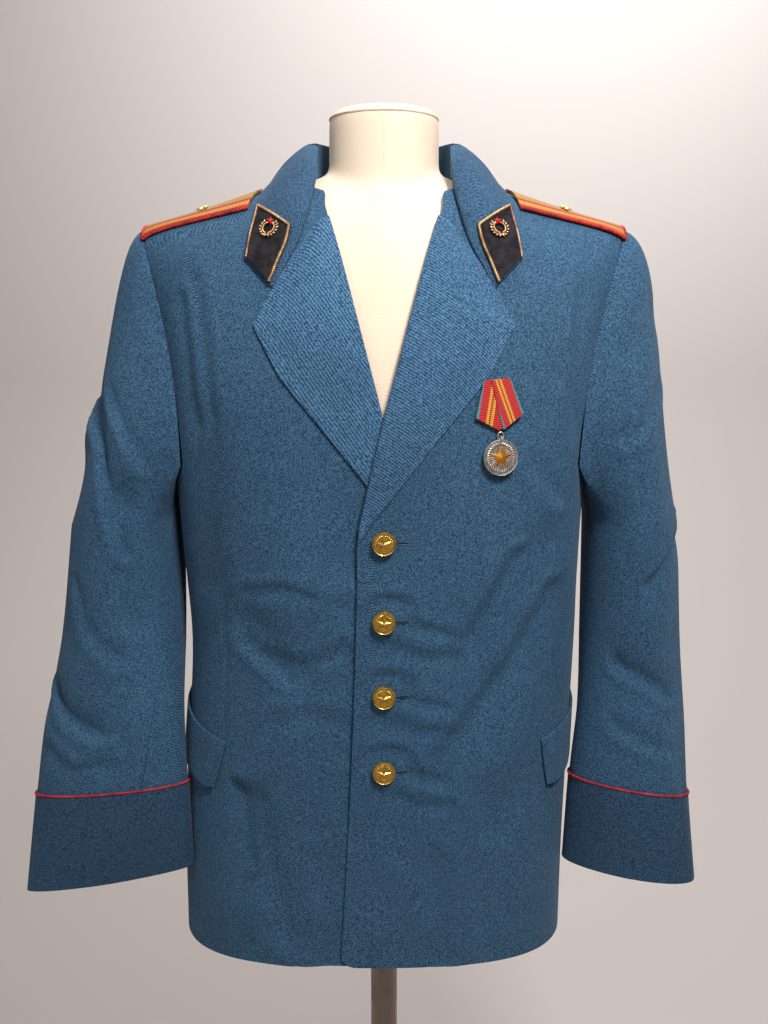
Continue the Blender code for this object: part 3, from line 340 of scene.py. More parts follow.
    def over_shoulder(self, x: Array, y: Array) -> tuple[Array, Array]:
        """phi and level near the shoulder line, at (x, y).

        Args:
            x: Distances from the centre.
            y: Places from front to back.

        Returns:
            phi and level.
        """
        x, y = np.broadcast_arrays(np.asarray(x, float), np.asarray(y, float))
        rise = np.full(x.shape, 0.9)
        for _ in range(30):
            x0 = (x + self.sway[-1] * rise) / self.spread(rise)
            phi = self.angle_at(x0, np.full(x.shape, self.armpit))
            phi = np.where(y < 0, phi, 180 - phi)
            level = self.level_over(phi, y)
            rise = np.sin((level - 1) * np.pi / 2) ** self.rise_power
        return phi, level


TORSO = Torso()

BUTTON_Z = (1.127, 1.051, 0.976, 0.900)


def button_creases() -> tuple[Crease, ...]:
    """The arched pull above each buttonhole and the slack beside it.

    Returns:
        The folds.
    """
    made = []
    for z in BUTTON_Z[1:]:
        arch = ((-0.012, z + 0.017), (0.002, z + 0.023), (0.018, z + 0.019), (0.029, z + 0.004))
        made.append(Crease(arch, 0.0046, 0.0022, 0.8))
        made.append(Crease(((0.024, z - 0.004), (0.060, z - 0.016)), 0.0060, 0.0017, 0.6))
        slack = ((0.006, z - 0.026), (0.030, z - 0.038), (0.060, z - 0.040))
        made.append(Crease(slack, 0.0080, 0.0020, 0.5))
    return tuple(made)


BODY_CREASES: dict[tuple[str, int], tuple[Crease, ...]] = {
    ("front", -1): (
        Crease(((0.125, 1.040), (0.085, 0.985)), 0.020, 0.0035),
        Crease(((0.142, 0.858), (0.135, 0.775)), 0.020, 0.0045),
        Crease(((0.165, 1.230), (0.172, 1.080)), 0.018, 0.0030),
        Crease(((0.132, 1.022), (0.114, 1.006), (0.094, 0.990)), 0.0065, 0.0024, 0.7),
        Crease(((0.066, 1.070), (0.096, 1.078), (0.130, 1.074)), 0.0065, 0.0018, 0.6),
        Crease(((0.137, 0.795), (0.141, 0.840), (0.146, 0.872)), 0.0075, 0.0026, 0.6),
        Crease(((0.176, 1.225), (0.182, 1.290), (0.187, 1.345)), 0.0060, 0.0018, 0.6),
        Crease(((0.160, 1.235), (0.165, 1.300), (0.172, 1.360)), 0.0070, 0.0014, 0.6),
        Crease(((0.040, 1.020), (0.075, 1.000), (0.110, 1.010)), 0.0080, 0.0016, 0.5),
        Crease(((0.030, 0.940), (0.070, 0.955), (0.105, 0.945)), 0.0090, 0.0014, 0.5),
        Crease(((0.157, 1.098), (0.154, 1.010), (0.158, 0.925)), 0.0022, 0.0011),
        Crease(((0.060, 0.800), (0.055, 0.740), (0.060, 0.700)), 0.0120, 0.0020, 0.4),
        Crease(((0.130, 0.865), (0.112, 0.800), (0.096, 0.720)), 0.0140, 0.0028, 0.4),
        Crease(((0.034, 1.060), (0.030, 0.960), (0.036, 0.860)), 0.0120, 0.0014, 0.4),
    ),
    ("front", 1): (
        Crease(((0.150, 1.120), (0.085, 1.020)), 0.022, 0.0035),
        Crease(((0.165, 1.060), (0.060, 0.900)), 0.020, 0.0030),
        Crease(((0.120, 0.860), (0.110, 0.740)), 0.024, 0.0030),
        Crease(((0.081, 1.032), (0.103, 1.070), (0.127, 1.110)), 0.0065, 0.0024, 0.7),
        Crease(((0.054, 0.911), (0.112, 0.985), (0.165, 1.072)), 0.0075, 0.0022, 0.6),
        Crease(((0.164, 1.163), (0.150, 1.182), (0.136, 1.197)), 0.0070, 0.0024, 0.6),
        Crease(((0.180, 1.220), (0.178, 1.290), (0.182, 1.350)), 0.0060, 0.0016, 0.6),
        Crease(((0.157, 1.098), (0.154, 1.010), (0.157, 0.925)), 0.0022, 0.0011),
        Crease(((0.050, 0.800), (0.058, 0.740), (0.052, 0.700)), 0.0120, 0.0018, 0.4),
        Crease(((0.100, 0.985), (0.098, 0.900), (0.106, 0.830)), 0.0160, 0.0024, 0.4),
        *button_creases(),
    ),
    ("back", -1): (
        Crease(((0.150, 1.110), (0.050, 1.020)), 0.026, 0.0040),
        Crease(((0.100, 0.900), (0.110, 0.720)), 0.028, 0.0040),
        Crease(((0.045, 1.012), (0.100, 1.055), (0.155, 1.115)), 0.0075, 0.0024, 0.6),
        Crease(((0.020, 0.975), (0.080, 0.990), (0.150, 1.030)), 0.0080, 0.0020, 0.6),
        Crease(((0.150, 1.300), (0.130, 1.230), (0.140, 1.160)), 0.0090, 0.0020, 0.6),
        Crease(((0.108, 0.715), (0.104, 0.800), (0.098, 0.890)), 0.0090, 0.0024, 0.5),
    ),
    ("back", 1): (
        Crease(((0.150, 1.090), (0.060, 1.010)), 0.026, 0.0040),
        Crease(((0.105, 0.880), (0.100, 0.720)), 0.028, 0.0040),
        Crease(((0.055, 1.002), (0.105, 1.045), (0.155, 1.095)), 0.0075, 0.0024, 0.6),
        Crease(((0.025, 0.960), (0.085, 0.975), (0.150, 1.000)), 0.0080, 0.0018, 0.6),
        Crease(((0.155, 1.300), (0.135, 1.235), (0.145, 1.165)), 0.0090, 0.0020, 0.6),
        Crease(((0.098, 0.715), (0.102, 0.800), (0.106, 0.870)), 0.0090, 0.0024, 0.5),
    ),
}


def underlap(side: int, points: Array) -> Array:
    """How far the right half lies behind the left near the centre, on the back too.

    Args:
        side: -1 for the wearer's right, 1 for the left.
        points: Points of the surface.

    Returns:
        The distance at each point.
    """
    if side > 0:
        return np.zeros(points.shape[:-1])
    x, z = points[..., 0], points[..., 2]
    waist = UNDER_BELOW + (UNDER_ABOVE - UNDER_BELOW) * ease(*UNDER_WAIST, z)
    return ease(*UNDER_ACROSS, x) * waist * (1 - ease(*UNDER_TOP, z))


def cloth(
    side: int, phi: Array, level: Array, out: Array | float = 0.0, fine: bool = True
) -> Array:
    """Outer surface of the jacket's body.

    Args:
        side: -1 or 1.
        phi: Degrees round from the front.
        level: Level up the body.
        out: How far to move out from the surface.
        fine: Whether the fine creases are laid in too.

    Returns:
        The points.
    """
    phi, level = np.broadcast_arrays(np.asarray(phi, float), np.asarray(level, float))
    points = TORSO.point(side, phi, level)
    push = out - underlap(side, points)
    for face, shown in (("front", phi < 90), ("back", phi >= 90)):
        for crease in BODY_CREASES[face, side]:
            if fine or crease.width > MAIN_FOLD:
                deep = crease.push(side * points[..., 0], points[..., 2])
                push = push - np.where(shown & (level < CREASE_TOP), deep, 0.0)
    return points + TORSO.normal(side, phi, level) * np.asarray(push)[..., None]


# ---- Making meshes ----


def bell(values: Array, middle: float, width: float) -> Array:
    """A smooth bump of height 1.

    Args:
        values: Where to read it.
        middle: Where it is highest.
        width: How wide it is.

    Returns:
        The height at each value.
    """
    return np.exp(-(((values - middle) / width) ** 2))


def add_object(name: str, mesh: bpy.types.Mesh, finish: bpy.types.Material) -> bpy.types.Object:
    """Links a new object with one material to the scene.

    Args:
        name: The piece's name.
        mesh: The mesh.
        finish: Its only material.

    Returns:
        The object.
    """
    mesh.materials.clear()
    mesh.materials.append(finish)
    made = bpy.data.objects.new(name, mesh)
    bpy.context.scene.collection.objects.link(made)
    return made


def mesh_of(name: str, points: Array, faces: list, corners: Array | None = None) -> bpy.types.Mesh:
    """A smooth mesh, with a UV in metres for each face corner where given.

    Args:
        name: The mesh's name.
        points: Its vertices.
        faces: Vertex numbers of each face.
        corners: UV of each face corner.

    Returns:
        The mesh.
    """
    mesh = bpy.data.meshes.new(name)
    mesh.from_pydata(np.asarray(points, float).tolist(), [], faces)
    if corners is not None:
        layer = mesh.uv_layers.new(name=UV_NAME)
        layer.data.foreach_set("uv", np.asarray(corners, np.float32).ravel())
    mesh.shade_smooth()
    mesh.set_sharp_from_angle(angle=math.radians(SHARP))
    return mesh


def arc_lengths(grid: Array) -> Array:
    """Distance along each row and up each column of a grid of points, as UV.

    Args:
        grid: Rows of points.

    Returns:
        u and v in metres at each point.
    """
    across = np.linalg.norm(np.diff(grid, axis=1), axis=-1)
    up = np.linalg.norm(np.diff(grid, axis=0), axis=-1)
    u = np.concatenate([np.zeros((grid.shape[0], 1)), np.cumsum(across, axis=1)], axis=1)
    v = np.concatenate([np.zeros((1, grid.shape[1])), np.cumsum(up, axis=0)], axis=0)
    return np.stack([u, v], axis=-1)


@dataclass
class Wall:
    """A closed thin wall between an outer and an inner grid of points."""

    name: str
    outer: Array
    inner: Array
    shown: Array | None = None
    wraps: bool = False
    bevel: float = 0.0006
    uv_from: Array | None = None

    def mesh(self) -> bpy.types.Mesh:
        """The wall's mesh, with rounded edges.

        Returns:
            The closed mesh.
        """
        rows, columns = self.outer.shape[:2]
        ids = np.arange(rows * columns).reshape(rows, columns)
        uv = arc_lengths(self.outer) if self.uv_from is None else self.uv_from
        if self.wraps:
            ids = np.concatenate([ids, ids[:, :1]], axis=1)
            step = np.linalg.norm(self.outer[:, 0] - self.outer[:, -1], axis=-1)
            last = uv[:, -1] + np.stack([step, 0 * step], axis=-1)
            uv = np.concatenate([uv, last[:, None]], axis=1)
        cells = np.stack([ids[:-1, :-1], ids[:-1, 1:], ids[1:, 1:], ids[1:, :-1]], axis=-1)
        places = np.stack([uv[:-1, :-1], uv[:-1, 1:], uv[1:, 1:], uv[1:, :-1]], axis=-2)
        keep = np.ones(cells.shape[:2], bool) if self.shown is None else self.shown
        quads, places = cells[keep], places[keep]
        points = np.concatenate([self.outer.reshape(-1, 3), self.inner.reshape(-1, 3)])
        a, b, c, _ = (points[quads[:, k]] for k in range(4))
        outward = points[quads[:, 0]] - points[quads[:, 0] + rows * columns]
        if (np.cross(b - a, c - b) * outward).sum() < 0:
            quads, places = quads[:, ::-1], places[:, ::-1]
        count = rows * columns
        starts, ends = quads, np.roll(quads, -1, axis=1)
        codes = starts * count + ends
        border = ~np.isin(codes, (ends * count + starts).ravel())
        one, two = starts[border], ends[border]
        sides = np.stack([two, one, one + count, two + count], axis=1)
        uv_one, uv_two = places[border], np.roll(places, -1, axis=1)[border]
        side_places = np.stack([uv_two, uv_one, uv_one, uv_two], axis=1)
        faces = np.concatenate([quads, quads[:, ::-1] + count, sides])
        corners = np.concatenate([places, places[:, ::-1], side_places])
        used, index = np.unique(faces, return_inverse=True)
        index = index.reshape(faces.shape)
        mesh = mesh_of(self.name, points[used], index.tolist(), corners.reshape(-1, 2))
        return rounded(mesh, self.bevel) if self.bevel else mesh

    def cut(self) -> tuple[float, float, float]:
        """Longest row, longest column and area of the cloth that shows.

        Returns:
            Width, length and area.
        """
        grid = self.outer
        if self.wraps:
            grid = np.concatenate([grid, grid[:, :1]], axis=1)
        keep = np.ones((grid.shape[0] - 1, grid.shape[1] - 1), bool)
        keep = keep if self.shown is None else self.shown
        across = np.linalg.norm(np.diff(grid, axis=1), axis=-1)
        up = np.linalg.norm(np.diff(grid, axis=0), axis=-1)
        row = max((across[:-1] * keep).sum(axis=1).max(), (across[1:] * keep).sum(axis=1).max())
        column = max((up[:, :-1] * keep).sum(axis=0).max(), (up[:, 1:] * keep).sum(axis=0).max())
        one, two = grid[1:, 1:] - grid[:-1, :-1], grid[1:, :-1] - grid[:-1, 1:]
        area = (np.linalg.norm(np.cross(one, two), axis=-1) / 2 * keep).sum()
        return float(row), float(column), float(area)


def rounded(mesh: bpy.types.Mesh, width: float, segments: int = 2) -> bpy.types.Mesh:
    """The mesh with its sharp edges rounded.

    Args:
        mesh: The mesh.
        width: Width of the rounding.
        segments: Its steps.

    Returns:
        The same mesh.
    """
    shape = bmesh.new()
    shape.from_mesh(mesh)
    limit = math.radians(50)
    edges = [e for e in shape.edges if e.is_manifold and e.calc_face_angle(0.0) > limit]
    bmesh.ops.bevel(
        shape, geom=edges, offset=width, segments=segments, profile=0.6, affect="EDGES",
        clamp_overlap=True,
    )
    shape.to_mesh(mesh)
    shape.free()
    mesh.shade_smooth()
    mesh.set_sharp_from_angle(angle=math.radians(60))
    return mesh


def lay_cloth(
    wall: Wall, finish: bpy.types.Material
) -> bpy.types.Object:
    """Makes a cloth piece that stands for the solid of the same name.

    Args:
        wall: The piece's wall; its name is the node's.
        finish: The piece's material.

    Returns:
        The piece, riding on the jacket's body.
    """
    mesh = wall.mesh()
    mesh.name = "cloth_" + wall.name
    piece = add_object("cloth_" + wall.name, mesh, finish)
    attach(piece, BODY)
    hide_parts(wall.name)
    width, length, area = wall.cut()
    area = min(area, width * length)
    log.info("%s: cut %.0f x %.0f mm, %.4f m2", piece.name, width * 1e3, length * 1e3, area)
    return piece


def trim(piece: bpy.types.Object, slot: str, body: str = BODY, *nodes: str) -> bpy.types.Object:
    """Lets a small piece ride on a body, in the place of nodes.

    Args:
        piece: The piece.
        slot: Not used.
        body: The body it rides on.
        nodes: Nodes that it stands for.

    Returns:
        The piece.
    """
    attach(piece, body)
    if nodes:
        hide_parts(*nodes)
    return piece


def facing(point: Array, normal: Array, up: Array = (0, 0, 1)) -> Matrix:
    """Matrix that puts local Z along the normal and local Y as near `up` as it goes.

    Args:
        point: Where its origin goes.
        normal: Direction of Z.
        up: Direction near Y.

    Returns:
        The matrix.
    """
    z = Vector(normal).normalized()
    y = (Vector(up) - z * Vector(up).dot(z)).normalized()
    turn = Matrix((y.cross(z), y, z)).transposed().to_4x4()
    return Matrix.Translation(Vector(point)) @ turn


def turned_faces(spokes: int, rings: int) -> list[list[int]]:
    """Faces of a closed round piece: a point, its rings from there on, and a last point.

    Args:
        spokes: Points in each ring.
        rings: Number of rings.

    Returns:
        Vertex numbers of each face.
    """
    faces = [[0, 1 + k, 1 + (k + 1) % spokes] for k in range(spokes)]
    for ring in range(rings - 1):
        a, b = 1 + ring * spokes, 1 + (ring + 1) * spokes
        for k in range(spokes):
            n = (k + 1) % spokes
            faces.append([a + k, b + k, b + n, a + n])
    last, end = 1 + (rings - 1) * spokes, 1 + rings * spokes
    return faces + [[last + (k + 1) % spokes, last + k, end] for k in range(spokes)]


def star_ring(radius: float, waist: float) -> list[tuple[float, float]]:
    """The ten corners of a five-pointed star's outline, from its upper point round.

    Args:
        radius: Radius of the tips.
        waist: The inner corners' radius as a share of it.

    Returns:
        The corners.
    """
    turns = np.pi / 2 + np.pi * np.arange(10) / 5
    radii = np.where(np.arange(10) % 2 == 0, radius, radius * waist)
    return [(r * math.cos(t), r * math.sin(t)) for r, t in zip(radii, turns)]


def relief(
    name: str, radii: Array, heights: Array, under: list[tuple[float, float]], place: Matrix
) -> bpy.types.Mesh:
    """A round piece whose face is a grid of heights over rings and spokes.

    Args:
        name: The mesh's name.
        radii: Radius of each ring, from the middle out, the first 0.
        heights: Height of each ring at each spoke, rings by spokes.
        under: (radius, height) pairs from the rim round the back to the middle.
        place: Where the piece goes.

    Returns:
        The closed mesh, in place.
    """
    spokes = heights.shape[1]
    turns = np.arange(spokes) * 2 * np.pi / spokes
    points = [(0.0, 0.0, float(heights[0].mean()))]
    rings = [(np.full(spokes, r), h) for r, h in zip(radii[1:], heights[1:])]
    rings += [(np.full(spokes, r), np.full(spokes, h)) for r, h in under[:-1]]
    for r, h in rings:
        points += list(zip(r * np.cos(turns), r * np.sin(turns), h))
    points.append((0.0, 0.0, under[-1][1]))
    mesh = mesh_of(name, np.array(points), turned_faces(spokes, len(rings)))
    mesh.transform(place)
    return mesh


def star_height(x: Array, y: Array, radius: float, waist: float) -> Array:
    """Distance inside a five-pointed star's edge, one point up; negative outside.

    Args:
        x: Places across.
        y: Places from front to back.
        radius: Radius of the tips.
        waist: The inner corners' radius as a share of it.

    Returns:
        The distance at each place.
    """
    turn = np.arctan2(x, y)
    sector = 2 * np.pi / 5
    folded = np.abs((turn + sector / 2) % sector - sector / 2)
    r = np.hypot(x, y)
    px, py = r * np.cos(folded), r * np.sin(folded)
    inner = radius * waist
    ax, ay = inner * math.cos(sector / 2) - radius, inner * math.sin(sector / 2)
    length = math.hypot(ax, ay)
    return -((px - radius) * ay - py * ax) / length


# ---- Nodes ----


class Wire:
    """A node's output; sums with it add Math nodes."""

    def __init__(self, bench: "Bench", node: bpy.types.Node, key: str | int = 0) -> None:
        """Takes one output of a node.

        Args:
            bench: The node's bench.
            node: The node.
            key: Name or number of the output.
        """
        self.bench = bench
        self.node = node
        self.socket = node.outputs[key] if len(node.outputs) else None

    def out(self, key: str | int) -> "Wire":
        """Another output of the same node."""
        return Wire(self.bench, self.node, key)

    def calc(self, operation: str, *others: "Wire | float", **settings: object) -> "Wire":
        """A Math node on this and other values, in that order."""
        values = dict(enumerate((self, *others)))
        return self.bench.add("ShaderNodeMath", {"operation": operation, **settings}, values)

    def __add__(self, other: "Wire | float") -> "Wire":
        """Sum."""
        return self.calc("ADD", other)

    __radd__ = __add__

    def __sub__(self, other: "Wire | float") -> "Wire":
        """Difference."""
        return self.calc("SUBTRACT", other)

    def __rsub__(self, other: float) -> "Wire":
        """Difference from a number."""
        return self.bench.add("ShaderNodeMath", {"operation": "SUBTRACT"}, {0: other, 1: self})

    def __mul__(self, other: "Wire | float") -> "Wire":
        """Product."""
        return self.calc("MULTIPLY", other)

    __rmul__ = __mul__

    def wave(self) -> "Wire":
        """Sine, brought to 0 to 1."""
        return self.calc("SINE") * 0.5 + 0.5

    def zigzag(self, size: float) -> "Wire":
        """Triangle wave up to a size."""
        return self.calc("PINGPONG", size)

    def above(self, edge: "Wire | float") -> "Wire":
        """1 where the value is over an edge."""
        return self.calc("GREATER_THAN", edge)

    def below(self, edge: "Wire | float") -> "Wire":
        """1 where the value is under an edge."""
        return self.calc("LESS_THAN", edge)

    def smooth(self, low: float, high: float) -> "Wire":
        """Smooth step from 0 at low to 1 at high.

        Args:
            low: Where the step starts.
            high: Where it ends.

        Returns:
            The step.
        """
        settings = {"interpolation_type": "SMOOTHSTEP"}
        places = {"Value": self, "From Min": low, "From Max": high}
        return self.bench.add("ShaderNodeMapRange", settings, places)


class Bench:
    """Adds nodes to one tree and links them."""

    def __init__(self, tree: bpy.types.NodeTree) -> None:
        """Takes the tree to work on."""
        self.tree = tree

    def add(
        self, kind: str, settings: Settings | None = None, sockets: dict | None = None,
        out: str | int = 0,
    ) -> Wire:
        """Adds a node.

        Args:
            kind: The node's type.
            settings: Its own settings, set first; "stops" fills a color ramp.
            sockets: Values or wires for its inputs, by name or number.
            out: The output to take.

        Returns:
            The output asked for.
        """
        node = self.tree.nodes.new(kind)
        for key, value in (settings or {}).items():
            if key == "stops":
                ramp = node.color_ramp
                for place, color in value:
                    stop = ramp.elements.new(place)
                    stop.color = (*color, 1.0)
                ramp.elements.remove(ramp.elements[0])
                ramp.elements.remove(ramp.elements[-1])
            elif key == "steps":
                node.color_ramp.interpolation = value
            else:
                setattr(node, key, value)
        for key, value in (sockets or {}).items():
            if isinstance(value, Wire):
                self.tree.links.new(value.socket, node.inputs[key])
            else:
                node.inputs[key].default_value = value
        return Wire(self, node, out)

    def place(self) -> Wire:
        """Object coordinates."""
        return self.add("ShaderNodeTexCoord", out="Object")

    def uv(self) -> tuple[Wire, Wire]:
        """The piece's own UV in metres, as two numbers.

        Returns:
            u and v.
        """
        found = self.add("ShaderNodeUVMap", {"uv_map": UV_NAME})
        split = self.add("ShaderNodeSeparateXYZ", None, {0: found})
        return split, split.out("Y")

    def noise(self, scale: float, detail: float = 2.0, at: Wire | None = None) -> Wire:
        """Noise, 0 to 1, over the object's coordinates."""
        places = {"Vector": at or self.place(), "Scale": scale, "Detail": detail}
        return self.add("ShaderNodeTexNoise", None, places)

    def mix(self, share: Wire | float, one: "Wire | Color", two: "Wire | Color") -> Wire:
        """Mix of two colors.

        Args:
            share: The second color's share.
            one: The first color.
            two: The second color.

        Returns:
            The color.
        """
        one = one if isinstance(one, Wire) else (*one, 1.0)
        two = two if isinstance(two, Wire) else (*two, 1.0)
        settings = {"data_type": "RGBA"}
        return self.add("ShaderNodeMix", settings, {0: share, 6: one, 7: two}, out=2)

    def bump(self, height: Wire, distance: float, strength: float = 1.0) -> Wire:
        """Normals from a height."""
        values = {"Height": height, "Distance": distance, "Strength": strength}
        return self.add("ShaderNodeBump", None, values)

    def shader(self, **sockets: object) -> Wire:
        """A Principled shader; underscores in names stand for spaces."""
        named = {key.replace("_", " "): value for key, value in sockets.items()}
        return self.add("ShaderNodeBsdfPrincipled", None, named)


def dye(red: float, green: float, blue: float) -> Color:
    """A linear color from a screen's 0 to 255."""
    shares = (red / 255, green / 255, blue / 255)
    return tuple(s / 12.92 if s <= 0.04045 else ((s + 0.055) / 1.055) ** 2.4 for s in shares)


def rgba(color: Color) -> tuple[float, float, float, float]:
    """A color with full alpha."""
    return (*color, 1.0)


# ---- Finishes ----


@dataclass(frozen=True)
class Finish:
    """A material, made once for its name."""

    name: str

    def material(self) -> bpy.types.Material:
        """The material.

        Returns:
            The material.
        """
        title = "look_" + self.name
        found = bpy.data.materials.get(title)
        if found:
            return found
        made = bpy.data.materials.new(title)
        made.use_nodes = True
        made.node_tree.nodes.clear()
        bench = Bench(made.node_tree)
        bench.add("ShaderNodeOutputMaterial", None, {"Surface": self.surface(bench)})
        return made

    def surface(self, bench: Bench) -> Wire:
        """The finish's shader."""
        raise NotImplementedError


@dataclass(frozen=True)
class Twill(Finish):
    """Wool twill: ribs at a lean over fine yarn, with painted shade in the valleys and a painted
    highlight on the ribs, faint shading and lint.
    """

    # The first colour is the cloth with painted shade in the twill's valleys, the second the cloth
    # with a painted highlight on its ribs.
    valley: Color = dye(26, 54, 80)
    rib: Color = dye(72, 112, 144)
    pitch: float = 0.0019
    lean: float = -50.0
    height: float = 0.00035

    def surface(self, bench: Bench) -> Wire:
        """The cloth's shader.

        Args:
            bench: The bench to add nodes on.

        Returns:
            The shader.
        """
        u, v = bench.uv()
        lean = math.radians(self.lean)
        wander = bench.noise(14.0, 3.0)
        along = u * math.cos(lean) + v * math.sin(lean) + wander * 0.0030
        across = v * math.cos(lean) - u * math.sin(lean)
        rib = (along * (2 * math.pi / self.pitch)).wave()
        yarn = (across * (2 * math.pi / (self.pitch * 0.62)) + rib * 2.2).wave()
        fuzz = bench.noise(1500.0, 2.0)
        height = rib * 0.62 + yarn * 0.22 + fuzz * 0.30
        speck = bench.noise(620.0, 3.0)
        light = rib * 0.55 + yarn * 0.18 + (fuzz - 0.5) * 1.2 + (speck - 0.5) * 2.8 + 0.10
        # Painted shade and highlight: darker in the twill's valleys, lighter on its ribs; fuzz and
        # specks add random tone.
        color = bench.mix(light.smooth(0.0, 1.0), self.valley, self.rib)
        shade = bench.noise(5.5, 4.0).smooth(0.35, 0.75)
        dull = tuple(c * 0.80 for c in self.valley)
        color = bench.mix(shade * 0.22, color, dull)
        worn = bench.noise(38.0, 5.0).smooth(0.56, 0.80)
        color = bench.mix(worn * 0.14, color, tuple(min(c * 1.25, 1.0) for c in self.rib))
        return bench.shader(
            Base_Color=color,
            Roughness=0.92 - rib * 0.12 - worn * 0.05,
            Specular_IOR_Level=0.28,
            Sheen_Weight=0.18,
            Sheen_Roughness=0.45,
            Sheen_Tint=rgba(dye(150, 175, 200)),
            Normal=bench.bump(height, self.height, 0.85),
        )


@dataclass(frozen=True)
class Velvet(Finish):
    """Black pile with a faint nap."""

    def surface(self, bench: Bench) -> Wire:
        """The velvet's shader.

        Args:
            bench: The bench to add nodes on.

        Returns:
            The shader.
        """
        pile = bench.noise(2600.0, 2.0)
        nap = bench.noise(120.0, 3.0).smooth(0.3, 0.75)
        return bench.shader(
            Base_Color=bench.mix(nap * 0.6 + pile * 0.3, dye(20, 19, 24), dye(52, 48, 52)),
            Roughness=0.96 - nap * 0.06,
            Specular_IOR_Level=0.15,
            Sheen_Weight=0.35,
            Sheen_Roughness=0.3,
            Sheen_Tint=rgba(dye(150, 145, 155)),
            Normal=bench.bump(pile, 0.0004, 0.8),
        )


@dataclass(frozen=True)
class Metal(Finish):
    """Stamped metal: bright on the raised parts, dark in the hollows."""

    bright: Color = dye(250, 204, 98)
    dark: Color = dye(132, 84, 26)
    roughness: float = 0.27
    grain: float = 900.0

    def surface(self, bench: Bench) -> Wire:
        """The metal's shader.

        Args:
            bench: The bench to add nodes on.

        Returns:
            The shader.
        """
        tarnish = bench.noise(260.0, 5.0).smooth(0.42, 0.74)
        pits = bench.noise(self.grain, 3.0)
        edge = bench.add("ShaderNodeNewGeometry", out="Pointiness").smooth(0.44, 0.54)
        base = bench.mix(edge, self.dark, self.bright)
        color = bench.mix(tarnish * 0.45, base, self.dark)
        return bench.shader(
            Base_Color=color,
            Metallic=0.92 - tarnish * 0.25,
            Roughness=tarnish * 0.28 + pits * 0.10 + self.roughness - 0.05,
            Normal=bench.bump(pits, 0.00012, 0.5),
        )


@dataclass(frozen=True)
class Thread(Finish):
    """Corded thread, ribbed along the piece."""

    light: Color = dye(88, 118, 146)
    shadow: Color = dye(34, 54, 74)
    roughness: float = 0.8
    shine: float = 0.0
    grain: float = 1400.0

    def surface(self, bench: Bench) -> Wire:
        """The thread's shader.

        Args:
            bench: The bench to add nodes on.

        Returns:
            The shader.
        """
        fiber = bench.noise(self.grain, 3.0)
        tone = bench.noise(90.0, 3.0).smooth(0.3, 0.7)
        share = (fiber * 0.8 + tone * 0.4).smooth(0.25, 0.95)
        return bench.shader(
            Base_Color=bench.mix(share, self.shadow, self.light),
            Metallic=self.shine,
            Roughness=self.roughness - fiber * 0.1,
            Normal=bench.bump(fiber, 0.0002, 0.7),
        )


@dataclass(frozen=True)
class Galloon(Finish):
    """Woven gold braid with two zigzag red stripes along it; v runs across it."""

    width: float = 0.046
    stripe_at: float = 0.0122
    gold: Color = dye(226, 158, 84)
    olive: Color = dye(194, 158, 94)
    red: Color = dye(168, 34, 22)

    def surface(self, bench: Bench) -> Wire:
        """The braid's shader.

        Args:
            bench: The bench to add nodes on.

        Returns:
            The shader.
        """
        u, v = bench.uv()
        from_middle = (v - self.width / 2).calc("ABSOLUTE")
        tooth = u.zigzag(0.0017)
        stripe = (from_middle + tooth - self.stripe_at - 0.0008).calc("ABSOLUTE").below(0.0021)
        edge = (from_middle + tooth * 0.6).above(self.width / 2 - 0.0012)
        chevron = ((u + from_middle * 0.9) * (2 * math.pi / 0.0021)).wave()
        rows = (v * (2 * math.pi / 0.0011)).wave()
        fuzz = bench.noise(1300.0, 2.0)
        inner = from_middle.below(self.stripe_at)
        gold = bench.mix(inner, self.gold, self.olive)
        gold = bench.mix(chevron * 0.30 + rows * 0.25 + fuzz * 0.25, gold, dye(150, 98, 42))
        color = bench.mix(stripe.calc("MAXIMUM", edge), gold, self.red)
        color = bench.mix(fuzz * 0.22, color, dye(120, 60, 30))
        height = chevron * 0.5 + rows * 0.35 + fuzz * 0.2 - stripe * 0.5
        return bench.shader(
            Base_Color=color,
            Metallic=0.35 - stripe * 0.3,
            Roughness=fuzz * 0.2 + 0.46 + stripe * 0.2,
            Normal=bench.bump(height, 0.0003, 0.9),
        )


@dataclass(frozen=True)
class Ribbon(Finish):
    """Ribbed silk ribbon: red with twin yellow lines and teal edges; u runs across."""

    width: float = 0.030
    with_two_edges: bool = True
    rib: float = 0.0019

    def surface(self, bench: Bench) -> Wire:
        """The ribbon's shader.

        Args:
            bench: The bench to add nodes on.

        Returns:
            The shader.
        """
        u, v = bench.uv()
        share = u * (1 / self.width)
        red, yellow, teal = dye(214, 26, 34), dye(240, 180, 44), dye(66, 156, 158)
        stops = [
            (0.0, teal), (0.095, red), (0.34, yellow), (0.43, red), (0.49, yellow),
            (0.58, red), (0.905, teal if self.with_two_edges else red),
        ]
        bands = bench.add(
            "ShaderNodeValToRGB", {"steps": "CONSTANT", "stops": stops}, {"Fac": share}
        )
        rib = (v * (2 * math.pi / self.rib)).wave()
        fuzz = bench.noise(1700.0, 2.0)
        dark = bench.mix(0.72, bands, dye(60, 4, 12))
        color = bench.mix(rib * 0.75 + fuzz * 0.25, bands, dark)
        return bench.shader(
            Base_Color=color,
            Roughness=0.62 - rib * 0.12,
            Sheen_Weight=0.12,
            Normal=bench.bump(rib * 0.8 + fuzz * 0.3, 0.0002, 0.8),
        )


